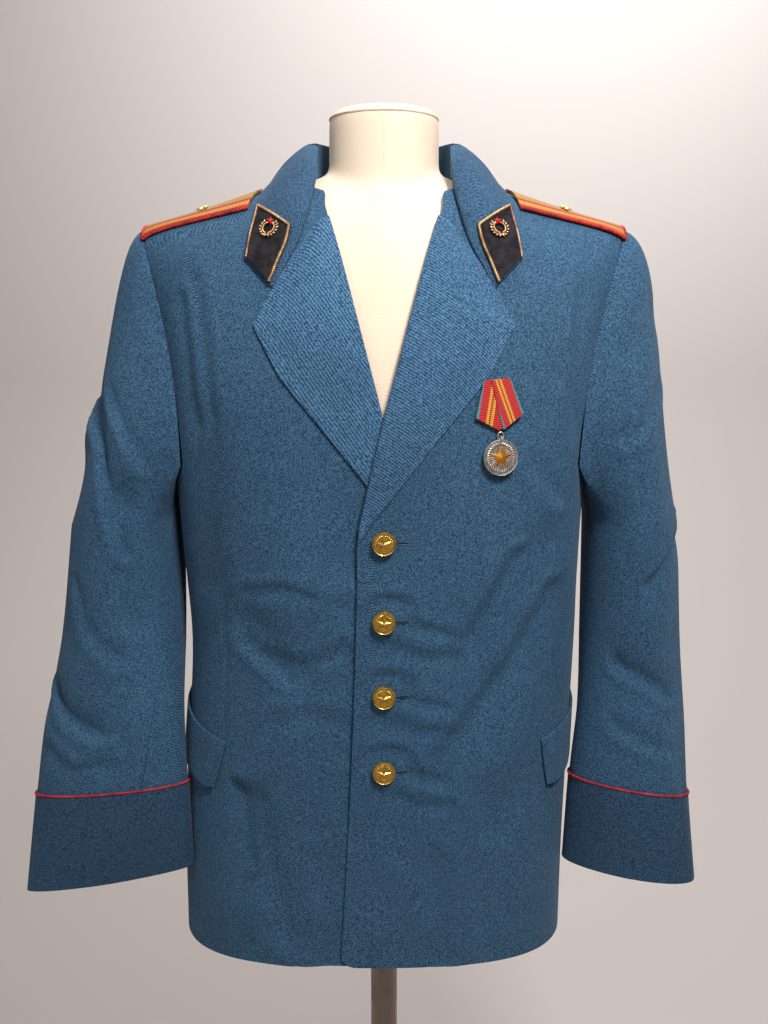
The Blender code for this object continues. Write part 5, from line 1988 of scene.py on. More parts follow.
SLEEVE_CREASES: dict[int, tuple[Crease, ...]] = {
    -1: (
        Crease(on_arm((-10, 1.225), (10, 1.215)), 0.026, -0.0070),
        Crease(on_arm((30, 1.240), (100, 1.150)), 0.016, 0.0050),
        Crease(on_arm((100, 1.160), (110, 1.040)), 0.016, 0.0040),
        Crease(on_arm((30, 0.955), (75, 0.930)), 0.018, 0.0040),
        Crease(on_arm((230, 1.180), (300, 1.120)), 0.018, 0.0040),
        Crease(on_arm((104, 1.105), (84, 1.165), (56, 1.208), (20, 1.240)), 0.0060, 0.0030, 0.8),
        Crease(on_arm((108, 1.190), (84, 1.225), (50, 1.262)), 0.0055, 0.0020, 0.7),
        Crease(on_arm((84, 0.925), (52, 0.942), (26, 0.962)), 0.0065, 0.0028, 0.7),
        Crease(on_arm((36, 0.905), (64, 0.884), (90, 0.893)), 0.0065, 0.0018, 0.6),
        Crease(on_arm((96, 1.300), (70, 1.325), (52, 1.360)), 0.0065, 0.0022, 0.6),
        Crease(on_arm((96, 1.000), (70, 1.030), (50, 1.075)), 0.0075, 0.0020, 0.6),
        Crease(on_arm((232, 1.165), (262, 1.150), (300, 1.120)), 0.0070, 0.0026, 0.7),
        Crease(on_arm((236, 0.980), (262, 0.965), (300, 0.940)), 0.0070, 0.0022, 0.6),
    ),
    1: (
        Crease(on_arm((25, 1.120), (80, 1.070)), 0.016, 0.0040),
        Crease(on_arm((30, 1.330), (70, 1.300)), 0.018, 0.0030),
        Crease(on_arm((50, 0.960), (110, 0.990)), 0.020, 0.0040),
        Crease(on_arm((230, 1.180), (300, 1.120)), 0.018, 0.0040),
        Crease(on_arm((22, 1.128), (50, 1.102), (86, 1.072)), 0.0060, 0.0026, 0.7),
        Crease(on_arm((96, 1.215), (66, 1.235), (40, 1.262)), 0.0060, 0.0018, 0.6),
        Crease(on_arm((112, 0.992), (80, 0.978), (46, 0.958)), 0.0070, 0.0026, 0.7),
        Crease(on_arm((104, 0.930), (76, 0.915), (44, 0.905)), 0.0070, 0.0016, 0.6),
        Crease(on_arm((98, 1.290), (80, 1.310), (58, 1.345)), 0.0060, 0.0024, 0.7),
        Crease(on_arm((30, 1.395), (46, 1.375), (60, 1.352)), 0.0055, 0.0016, 0.6),
        Crease(on_arm((232, 1.165), (262, 1.150), (300, 1.120)), 0.0070, 0.0026, 0.7),
        Crease(on_arm((236, 0.980), (262, 0.965), (300, 0.940)), 0.0070, 0.0022, 0.6),
    ),
}


@dataclass
class Arm:
    """One sleeve's surface: theta is 0 outside, 90 in front; down is 2 at the cuff."""

    side: int
    panels: Panels
    z: tuple[float, ...]
    x: tuple[float, ...]
    y: tuple[float, ...]
    across: tuple[float, ...]
    deep: tuple[float, ...]
    turn: tuple[float, ...]
    tilt: tuple[float, ...]
    cap_round: float
    cap_lean: float
    pipe_z: float
    power: float = 2.2
    start: float = 0.0014
    top: float = 1.125

    def __post_init__(self) -> None:
        """Measures the armhole's front and back halves."""
        self.halves = []
        middle = (self.panels.armhole_front + self.panels.armhole_back) / 2
        for phi in (self.panels.armhole_front, self.panels.armhole_back):
            phis = np.concatenate([np.full(97, phi), np.linspace(phi, middle, 49)[1:]])
            levels = np.concatenate([np.linspace(2.0, 1.0, 97), self.panels.underarm(phis[97:])])
            points = TORSO.point(self.side, phis, levels)
            normals = TORSO.normal(self.side, phis, levels)
            steps = np.linalg.norm(np.diff(points, axis=0), axis=1)
            length = np.concatenate([[0], np.cumsum(steps)])
            self.halves.append((points, normals, length / length[-1]))

    def armhole(self, theta: Array) -> tuple[Array, Array]:
        """Points and normals of the armhole's edge.

        Args:
            theta: Degrees round the sleeve, 0 outside and 90 in front.

        Returns:
            Points and normals.
        """
        theta = np.asarray(theta, float) % 360.0
        share = np.where(theta <= 180, theta, 360 - theta) / 180
        found = []
        for which in (0, 1):
            halves = [
                np.stack([np.interp(share, h[2], h[which][:, k]) for k in range(3)], axis=-1)
                for h in self.halves
            ]
            found.append(np.where((theta > 180)[..., None], halves[1], halves[0]))
        return found[0], found[1]

    def ring(self, theta: Array, z: Array) -> Array:
        """Points of the tube's rings.

        Args:
            theta: Degrees round the sleeve, 0 outside and 90 in front.
            z: Heights.

        Returns:
            The points.
        """
        angle = np.radians(theta)
        columns = ("x", "y", "across", "deep", "turn", "tilt")
        read = {n: curve(self.z, getattr(self, n), z) for n in columns}
        p = read["across"] * signed_power(np.cos(angle), 2 / self.power)
        q = read["deep"] * signed_power(np.sin(angle), 2 / self.power)
        turn, tilt = np.radians(read["turn"]), np.radians(read["tilt"])
        out = p * np.cos(turn) - q * np.sin(turn)
        ahead = p * np.sin(turn) + q * np.cos(turn)
        lean = np.radians(10.0) * (1 - ease(1.0, 1.125, z))
        return stacked(
            self.side * (read["x"] + out * np.cos(tilt)),
            read["y"] - ahead * np.cos(lean),
            z - out * np.sin(tilt) + ahead * np.sin(lean),
        )

    def base(self, theta: Array, down: Array) -> Array:
        """The sleeve's surface without folds.

        Args:
            theta: Degrees round the sleeve, 0 outside and 90 in front.
            down: 0 at the armhole, 1 where the arm's rings begin, 2 at the cuff.

        Returns:
            The points.
        """
        theta, down = np.broadcast_arrays(np.asarray(theta, float), np.asarray(down, float))
        low = self.ring(theta, self.top + (np.maximum(down, 1) - 1) * (self.pipe_z - self.top))
        start = self.armhole(theta)[0] + np.array([self.side * self.start, 0, 0])
        end = self.ring(theta, np.full(theta.shape, self.top))
        under = np.sin(np.radians(theta) / 2) ** 2
        leave = stacked(
            self.side * (1 - 0.88 * under), -0.18 * np.sin(np.radians(theta)), -0.12 - 0.88 * under
        )
        reach = self.cap_round * (1 - under) + 0.014 * under
        first = start + unit(leave) * reach[..., None]
        lean = -self.side * self.cap_lean * np.maximum(np.cos(np.radians(theta)), 0.0)
        second = end + stacked(lean, 0 * lean, 1 + 0 * lean) * (0.115 - 0.101 * under)[..., None]
        t = np.minimum(down, 1.0)[..., None]
        high = (
            start * (1 - t) ** 3 + first * (3 * t * (1 - t) ** 2)
            + second * (3 * t * t * (1 - t)) + end * t**3
        )
        return np.where((down >= 1)[..., None], low, high)

    def surface(self, theta: Array, down: Array, out: Array | float = 0.0) -> Array:
        """The sleeve's outer surface with its folds, moved out by `out`.

        Args:
            theta: Degrees round the sleeve, 0 outside and 90 in front.
            down: 0 at the armhole, 1 where the arm's rings begin, 2 at the cuff.
            out: How far to move out from the surface.

        Returns:
            The points.
        """
        theta, down = np.broadcast_arrays(np.asarray(theta, float), np.asarray(down, float))
        points = self.base(theta, down)
        along = self.base(theta + 2, down) - self.base(theta - 2, down)
        low = np.maximum(down - 0.03, 0.0)
        fall = self.base(theta, low + 0.06) - self.base(theta, low)
        normal = self.side * unit(np.cross(along, fall))
        from_top = 180 - np.abs(180 - theta % 360)
        butted = (1 - ease(90.0, 140.0, from_top)) * (1 - ease(0.0, 0.15, down))
        normal = unit(normal + (self.armhole(theta)[1] - normal) * butted[..., None])
        push = np.zeros(theta.shape)
        for crease in SLEEVE_CREASES[self.side]:
            rows = [crease.push((theta % 360 - turn) * AROUND, points[..., 2]) for turn in (0, 360)]
            push += np.where(np.abs(rows[0]) > np.abs(rows[1]), rows[0], rows[1])
        return points + normal * (out - push * ease(0.05, 0.3, down))[..., None]

    def cuff(self, theta: Array, share: Array, out: Array | float = 0.0) -> Array:
        """The cuff's outer surface, from its seam down to the end.

        Args:
            theta: Degrees round the sleeve, 0 outside and 90 in front.
            share: Share of the way down the cuff.
            out: How far to move out from the surface.

        Returns:
            The points.
        """
        theta, share = np.broadcast_arrays(np.asarray(theta, float), np.asarray(share, float))
        z = self.pipe_z + (self.z[0] - self.pipe_z) * share
        points = self.ring(theta, z)
        centre = (self.ring(theta + 180, z) + points) / 2
        return points + unit(points - centre) * (0.0012 + np.asarray(out))[..., None]


@dataclass
class Sleeves:
    """Both sleeves with their cuffs and red piping."""

    work: Haberdashery
    panels: Panels
    cell: float = 0.0042
    hind_seam: float = 246.0
    seam_z: tuple[float, ...] = (0.850, 0.950, 1.060, 1.125, 1.200)
    seam_angle: tuple[float, ...] = (112.0, 132.0, 165.0, 174.0, 176.0)

    def arm(self, side: int) -> Arm:
        """The sleeve's sizes.

        Args:
            side: -1 for the wearer's right, 1 for the left.

        Returns:
            The sleeve.
        """
        if side < 0:
            return Arm(
                side, self.panels,
                z=(0.760, 0.857, 0.930, 1.010, 1.125),
                x=(0.2835, 0.2785, 0.2755, 0.2680, 0.2630),
                y=(-0.079, -0.068, -0.055, -0.030, -0.006),
                across=(0.0840, 0.0760, 0.0700, 0.0620, 0.0540),
                deep=(0.020, 0.030, 0.042, 0.058, 0.078),
                turn=(8.0, 5.0, 2.0, 0.0, 0.0),
                tilt=(6.5, 3.5, 4.0, 3.0, 0.0),
                cap_round=0.030, cap_lean=0.40, pipe_z=0.857,
            )
        return Arm(
            side, self.panels,
            z=(0.764, 0.862, 0.930, 1.010, 1.125),
            x=(0.2550, 0.2525, 0.2550, 0.2550, 0.2530),
            y=(-0.067, -0.058, -0.044, -0.022, -0.006),
            across=(0.0670, 0.0595, 0.0540, 0.0500, 0.0450),
            deep=(0.032, 0.038, 0.046, 0.062, 0.078),
            turn=(22.0, 20.0, 12.0, 4.0, 0.0),
            tilt=(3.5, 6.0, 3.0, 2.0, 0.0),
            cap_round=0.047, cap_lean=0.32, pipe_z=0.8575,
        )

    def part(self, arm: Arm, top: bool) -> Wall:
        """The top sleeve or the under sleeve.

        Args:
            arm: The sleeve.
            top: Whether it is the top sleeve.

        Returns:
            The wall.
        """
        cap = grid_steps(0, 1, self.cell, 0.28)
        rest = grid_steps(1, 2, self.cell, 0.275)[1:]
        downs = np.concatenate([cap[:1], [cap[1] * 0.4], cap[1:], rest])
        downs[-1] -= 0.001
        z = np.where(downs >= 1, arm.top + (downs - 1) * (arm.pipe_z - arm.top), 1.2)
        front = curve(self.seam_z, self.seam_angle, z)
        gap = math.degrees(SEAM / 2 / 0.055)
        first = np.full(len(downs), self.hind_seam - 360.0) if top else front
        last = front if top else np.full(len(downs), self.hind_seam)
        share = grid_steps(0, 1, self.cell, 0.33 if top else 0.13)
        close = share[1] * 0.35
        share = np.concatenate([share[:1], [close], share[1:-1], [1 - close], share[-1:]])
        theta = (first + gap)[:, None] + (last - first - 2 * gap)[:, None] * share
        down = np.repeat(downs[:, None], theta.shape[1], axis=1)
        outer = arm.surface(theta, down)
        kind = "sleeve_top" if top else "sleeve_under"
        uv = arc_lengths(outer) * np.array([-arm.side, -1.0])
        return Wall(sided(kind, arm.side), outer, arm.surface(theta, down, -WALL), uv_from=uv)

    def cuff(self, arm: Arm) -> Wall:
        """The cuff: a closed band below the piping.

        Args:
            arm: The sleeve.

        Returns:
            The wall.
        """
        theta = np.linspace(0, 360, 97)[:-1]
        shares = np.concatenate([[2 * SEAM / 0.095, 0.02], np.linspace(0.05, 0.985, 22), [1.0]])
        grid = np.meshgrid(shares, theta, indexing="ij")
        slit = 96.0 if arm.side < 0 else 84.0
        turn = (grid[1] - slit) * AROUND
        groove = 0.0011 * bell(turn, 0.0, 0.0016) - 0.0006 * bell(turn, 0.004, 0.003)
        wave = 0.0012 * np.sin(np.radians(grid[1] * 3 + 40)) * grid[0]
        groove = groove + wave
        outer = arm.cuff(grid[1], grid[0], -groove)
        inner = arm.cuff(grid[1], grid[0], -groove - WALL)
        uv = arc_lengths(outer) * np.array([-arm.side, -1.0])
        return Wall(sided("cuff", arm.side), outer, inner, wraps=True, uv_from=uv)

    def build(self) -> None:
        """Makes the sleeves, the cuffs, their piping and stitches."""
        for side in SIDES:
            arm = self.arm(side)
            finish = MIRROR_TWILL if side < 0 else BODY_TWILL
            lay_cloth(self.part(arm, True), finish.material())
            lay_cloth(self.part(arm, False), finish.material())
            lay_cloth(self.cuff(arm), CUFF_TWILL.material())
            theta = np.linspace(0, 360, 241)[:-1]
            line = arm.cuff(theta, np.full(theta.shape, 0.004), -0.0001)
            self.work.cord(
                sided("cuff_piping", side), [line], PIPING, 0.0015, "cloth",
                lobe=0.10, pitch=0.0035, closed=True, step=0.0012,
            )
            line = arm.cuff(theta, np.full(theta.shape, 0.955), ON_CLOTH)
            self.work.stitch(
                sided("cuff_stitches", side), [line], CUFF_THREAD, 0.0016, 0.0060, 0.0002, True
            )


CUFF_THREAD = Thread("cuff_thread", dye(70, 92, 112), dye(30, 46, 62))


# ---- What is sewn or pinned on ----


@dataclass
class Flaps:
    """The pocket flaps on the hips."""

    work: Haberdashery
    top: float = 0.917
    depth: float = 0.055
    rise: float = 0.026
    wall: float = 0.0024
    front_x: float = 0.155
    back_y: float = 0.030

    def surface(self, side: int, share: Array, drop: Array, out: float) -> Array:
        """Points of a flap; share runs backwards, drop down.

        Args:
            side: -1 for the wearer's right, 1 for the left.
            share: Share of the way backwards.
            drop: Share of the way down.
            out: How far to move out from the surface.

        Returns:
            The points.
        """
        share, drop = np.broadcast_arrays(np.asarray(share, float), np.asarray(drop, float))
        first = float(TORSO.angle_at(self.front_x, self.top, side))
        last = 90.0 + math.degrees(math.asin((self.back_y / 0.12) ** (TORSO.power / 2)))
        slant = 5.0 * drop * (1 - share) + 2.0 * drop * share
        phi = first + (last - first) * share + slant
        corner = 0.004 * (ease(0.9, 1.0, share) + 1 - ease(0.0, 0.1, share)) * ease(0.6, 1.0, drop)
        z = self.top + self.rise * share - (self.depth - corner) * drop
        lift = self.wall + 2 * LIE + 0.0012 * drop
        lift = lift + 0.0008 * np.sin(share * 9.0) * drop
        return cloth(side, phi, TORSO.level_at(phi, z), lift + out)

    def build(self) -> None:
        """Makes both flaps and their stitches."""
        for side in SIDES:
            share = grid_steps(0, 1, 0.0035, 0.115)[None]
            drop = grid_steps(0, 1, 0.0035, 0.055)[:, None]
            outer = self.surface(side, share, drop, 0.0)
            uv = arc_lengths(outer) * np.array([side, -1.0])
            name = sided("flap", side)
            inner = self.surface(side, share, drop, -self.wall)
            lay_cloth(Wall(name, outer, inner, uv_from=uv, bevel=0.0008), BODY_TWILL.material())
            s, d = np.linspace(0.03, 0.97, 60), np.linspace(0.02, 0.90, 30)
            line = np.concatenate([
                self.surface(side, 0.03, d, ON_CLOTH), self.surface(side, s, 0.90, ON_CLOTH),
                self.surface(side, 0.97, d[::-1], ON_CLOTH),
            ])
            self.work.stitch(sided("flap_stitches", side), [line], pitch=0.0040, length=0.0019,
                             thickness=0.00024)


@dataclass
class Boards:
    """Shoulder boards: gold braid with red stripes, a corded red edge and a star."""

    work: Haberdashery
    front: tuple[float, float] = (-0.052, -0.040)
    back: tuple[float, float] = (-0.006, 0.002)
    inner: tuple[float, float] = (0.1262, 0.1177)
    outer: float = 0.2275
    lies: float = 0.0012
    thick: float = 0.003
    star_radius: float = 0.0068
    star_waist: float = 0.46
    star_at: tuple[float, float] = (0.47, 0.40)
    depth: float = 0.046
    rolls: tuple[tuple[float, float], ...] = ((0.0050, 0.0055), (0.0190, 0.0040))
    roll_height: float = 0.0004

    def surface(self, side: int, along: Array, across: Array, out: Array | float) -> Array:
        """Points of a board's underside moved out by `out`.

        Args:
            side: -1 for the wearer's right, 1 for the left.
            along: Share of the way along, 0 to 1.
            across: Share of the way across, 0 to 1.
            out: How far to move out from the surface.

        Returns:
            The points.
        """
        along, across = np.broadcast_arrays(np.asarray(along, float), np.asarray(across, float))
        inner = self.inner[0] + (self.inner[1] - self.inner[0]) * across
        x = inner + (self.outer - inner) * along
        front = self.front[0] + (self.front[1] - self.front[0]) * along
        back = self.back[0] + (self.back[1] - self.back[0]) * along
        y = front + (back - front) * across
        x0 = np.minimum(x * TORSO.arm_x / TORSO.tip_x, TORSO.arm_x)
        armpit = np.full(x.shape, TORSO.armpit)
        base = TORSO.section(1, TORSO.angle_at(x0 + TORSO.sway[-1], armpit), armpit)
        share = np.minimum(np.abs(y / base[..., 1]), 0.95)
        turn = np.arccos(share ** (1 / TORSO.squareness(x0)))
        top = TORSO.shoulder(x)
        drop = (top - TORSO.armpit) * (1 - np.sin(turn) ** TORSO.rise_power)
        return stacked(side * x, y, top + self.lies - drop + out)

    def normal(self, side: int, along: float, across: float) -> Array:
        """Outward normal at a place.

        Args:
            side: -1 for the wearer's right, 1 for the left.
            along: Share of the way along, 0 to 1.
            across: Share of the way across, 0 to 1.

        Returns:
            A unit vector.
        """
        ahead, behind = (self.surface(side, along + d, across, 0) for d in (0.05, -0.05))
        over, back = (self.surface(side, along, across + d, 0) for d in (0.1, -0.1))
        found = unit(np.cross(ahead - behind, over - back))
        return found * math.copysign(1.0, found[2])

    def board(self, side: int) -> None:
        """The braid on its stiff board.

        Args:
            side: -1 for the wearer's right, 1 for the left.
        """
        along = grid_steps(0, 1, 0.0025, 0.118)[None]
        across = grid_steps(0, 1, 0.0009, self.depth)[:, None]
        middle = np.abs(across - 0.5) * self.depth
        swell = 0.0
        for centre, half in self.rolls:
            turn = np.clip((middle - centre) / half, -1, 1) * np.pi / 2
            swell = swell + self.roll_height * np.cos(turn)
        outer = self.surface(side, along, across, self.thick + swell)
        inner = self.surface(side, along, across, 0.0)
        uv = arc_lengths(outer)
        uv[..., 1] *= self.depth / uv[-1:, :, 1]
        name = sided("board", side)
        wall = Wall(name, outer, inner, uv_from=uv, bevel=0.0005)
        mesh = wall.mesh()
        mesh.name = "braid_" + name
        trim(add_object("braid_" + name, mesh, GALLOON.material()), "galloon", BODY, name)
        s = np.linspace(0, 1, 60)
        mid = self.thick * 0.5
        line = np.concatenate([
            self.surface(side, s, -0.012, mid), self.surface(side, 1.008, s, mid)[1:-1],
            self.surface(side, s[::-1], 1.012, mid),
        ])
        self.work.cord(
            f"edging_{name}", [line], BOARD_CORD, 0.0023, "galloon", lobe=0.5, pitch=0.0085
        )

    def star(self, side: int) -> None:
        """The faceted star on the middle of the board.

        Args:
            side: -1 for the wearer's right, 1 for the left.
        """
        normal = self.normal(side, *self.star_at)
        foot = self.surface(side, *self.star_at, self.thick + 0.0006)
        ring = star_ring(self.star_radius, self.star_waist)
        points = [(0, 0, 0.0026), (0, 0, 0)]
        points += [(x * 0.93, y * 0.93, 0.0009) for x, y in ring]
        points += [(x, y, 0.0004) for x, y in ring] + [(x, y, 0.0) for x, y in ring]
        faces = []
        for k in range(10):
            n = (k + 1) % 10
            faces += [[0, 2 + k, 2 + n], [2 + k, 12 + k, 12 + n, 2 + n]]
            faces += [[12 + k, 22 + k, 22 + n, 12 + n], [1, 22 + n, 22 + k]]
        name = sided("board_star", side)
        mesh = mesh_of("pin_" + name, np.array(points), faces)
        mesh.transform(facing(foot + normal * LIE, normal, (side, 0, 0)))
        mesh.set_sharp_from_angle(angle=math.radians(20))
        trim(add_object("pin_" + name, mesh, BOARD_STAR.material()), "gilt", BODY, name)

    def build(self) -> None:
        """Makes both boards and stars."""
        for side in SIDES:
            self.board(side)
            self.star(side)


@dataclass
class Tabs:
    """Velvet collar tabs with gold cords and a wreath pin."""

    work: Haberdashery
    collar: Collar
    thick: float = 0.0018
    lies: float = 0.0009
    margin: float = 0.07
    start: float = 0.06
    span: float = 2.17
    pin_at: float = 0.74
    leaves: int = 7
    leaf_rows: tuple[tuple[float, float, float], ...] = (
        (0.0082, 0.0050, 0.0020), (0.0056, 0.0040, 0.0018),
    )

    def surface(self, side: int, along: Array, across: Array, out: Array | float) -> Array:
        """Points of a tab: along from the collar's end up, across from the crease.

        Args:
            side: -1 for the wearer's right, 1 for the left.
            along: Share of the way along, 0 to 1.
            across: Share of the way across, 0 to 1.
            out: How far to move out from the surface.

        Returns:
            The points.
        """
        along, across = np.broadcast_arrays(np.asarray(along, float), np.asarray(across, float))
        first = self.margin + 0.05 * along
        place = first + (1.0 - self.margin - first) * across
        return self.collar.leaf(side, self.start + (self.span + 0.15 * across) * along, place, out)

    def frame_at(self, side: int, along: float) -> tuple[Array, Array, Array]:
        """Point, normal and direction up the tab on its middle line.

        Args:
            side: -1 for the wearer's right, 1 for the left.
            along: Share of the way along, 0 to 1.

        Returns:
            The point, the normal and the direction.
        """
        top = self.thick + self.lies
        point = self.surface(side, along, 0.5, top)
        up = self.surface(side, along + 0.1, 0.5, 0) - self.surface(side, along - 0.1, 0.5, 0)
        over = self.surface(side, along, 0.7, 0) - self.surface(side, along, 0.3, 0)
        normal = unit(np.cross(up, over))
        return point, normal * math.copysign(1.0, normal[2]), up

    def tab(self, side: int) -> None:
        """The velvet and its cords.

        Args:
            side: -1 for the wearer's right, 1 for the left.
        """
        along = grid_steps(0, 1, 0.0025, 0.075)[:, None]
        across = grid_steps(0, 1, 0.0020, 0.030)[None]
        top = self.thick + self.lies
        outer = self.surface(side, along, across, top)
        inner = self.surface(side, along, across, self.lies)
        name = sided("tab", side)
        mesh = Wall(name, outer, inner, bevel=0.0006).mesh()
        mesh.name = "velvet_" + name
        trim(add_object("velvet_" + name, mesh, VELVET.material()), "velvet", BODY, name)
        s = np.linspace(0.0, 1.0, 80)
        long_inner = self.surface(side, s * 0.97, 0.03, top + 0.0004)
        over_top = self.surface(side, 0.985, np.linspace(0.03, 0.97, 40), top + 0.0004)
        bent = np.concatenate([long_inner, over_top[1:]])
        self.work.cord(
            f"inner_cord_{name}", [bent], GOLD_CORD, 0.0016, "gilt",
            lobe=0.45, pitch=0.0058, step=0.0006,
        )
        long_outer = self.surface(side, s * 0.985, 0.975, top + 0.0002)
        self.work.cord(f"outer_cord_{name}", [long_outer], PINK_CORD, 0.0011, "gilt",
                       lobe=0.42, pitch=0.0040, step=0.0006)

    def pin(self, side: int) -> None:
        """The wreath of leaves with a small star over it.

        Args:
            side: -1 for the wearer's right, 1 for the left.
        """
        point, normal, up = self.frame_at(side, self.pin_at)
        place = facing(point + normal * 0.0012, normal, up)
        name = sided("tab_emblem", side)
        shape = bmesh.new()
        for row, (radius, length, wide) in enumerate(self.leaf_rows):
            for k in range(self.leaves):
                for hand in (-1, 1):
                    run = (k + 0.5 + 0.5 * row) / (self.leaves + 1)
                    turn = -math.pi / 2 + hand * run * math.pi * 0.93
                    height = 0.0014 + 0.0002 * row
                    middle = Vector((radius * math.cos(turn), radius * math.sin(turn), height))
                    heading = turn + hand * (0.75 + 1.2 * row)
                    self.leaf(shape, middle, heading, length, wide)
        for k in range(5):
            turn = -math.pi / 2 + (k - 2) * 0.16
            middle = Vector((0.0072 * math.cos(turn), 0.0072 * math.sin(turn), 0.0016))
            self.leaf(shape, middle, turn + math.pi / 2, 0.0022, 0.0016)
        bmesh.ops.recalc_face_normals(shape, faces=shape.faces[:])
        mesh = bpy.data.meshes.new("wreath_" + name)
        shape.to_mesh(mesh)
        shape.free()
        mesh.shade_smooth()
        mesh.transform(place)
        wreath = add_object("wreath_" + name, mesh, GOLD_LEAF.material())
        trim(wreath, "gilt", BODY, name)
        self.base(name, place)
        over = place @ Matrix.Translation((0, 0.0066, 0.0020))
        star = small_star("star_" + name, 0.0042, 0.0012, over)
        trim(add_object("star_" + name, star, ENAMEL.material()), "gilt")

    def leaf(
        self, shape: bmesh.types.BMesh, middle: Vector, heading: float, length: float, wide: float
    ) -> None:
        """Adds one closed, ridged leaf.

        Args:
            shape: The shape to add to.
            middle: The leaf's middle.
            heading: Its direction, in radians.
            length: Its length.
            wide: Its width.
        """
        along = Vector((math.cos(heading), math.sin(heading), 0.0))
        over = Vector((-along.y, along.x, 0.0))
        rim = [(-0.5, 0.0), (-0.2, 0.42), (0.15, 0.5), (0.5, 0.0), (0.15, -0.5), (-0.2, -0.42)]
        ring = [shape.verts.new(middle + along * a * length + over * b * wide) for a, b in rim]
        crest = shape.verts.new(middle + Vector((0, 0, 0.0009)))
        back = shape.verts.new(middle - Vector((0, 0, 0.0005)))
        for k in range(6):
            shape.faces.new((ring[k], ring[(k + 1) % 6], crest))
            shape.faces.new((ring[(k + 1) % 6], ring[k], back))

    def base(self, name: str, place: Matrix) -> None:
        """The wreath's thin backing ring.

        Args:
            name: The emblem's name.
            place: The emblem's place.
        """
        turns = np.linspace(-np.pi * 1.43, np.pi * 0.43, 64)
        line = stacked(0.0068 * np.cos(turns), 0.0068 * np.sin(turns), 0.0004)
        line = np.array([place @ Vector(p) for p in line])
        self.work.cord(f"stem_{name}", [line], GOLD_LEAF, 0.0006, "gilt", lobe=0.2, pitch=0.004)

    def build(self) -> None:
        """Makes both tabs and pins."""
        for side in SIDES:
            self.tab(side)
            self.pin(side)


GOLD_LEAF = Metal("pin_gold", dye(236, 196, 150), dye(120, 74, 48), 0.36)


def small_star(name: str, radius: float, height: float, place: Matrix) -> bpy.types.Mesh:
    """A closed ridged star.

    Args:
        name: The piece's name.
        radius: Radius of the tips.
        height: Height of its middle.
        place: Where the piece goes.

    Returns:
        The mesh.
    """
    points = [(0, 0, height), (0, 0, -height * 0.3)]
    points += [(x, y, height * 0.2) for x, y in star_ring(radius, 0.44)]
    faces = []
    for k in range(10):
        n = (k + 1) % 10
        faces += [[0, 2 + k, 2 + n], [1, 2 + n, 2 + k]]
    mesh = mesh_of(name, np.array(points), faces)
    mesh.set_sharp_from_angle(angle=math.radians(15))
    mesh.transform(place)
    return mesh


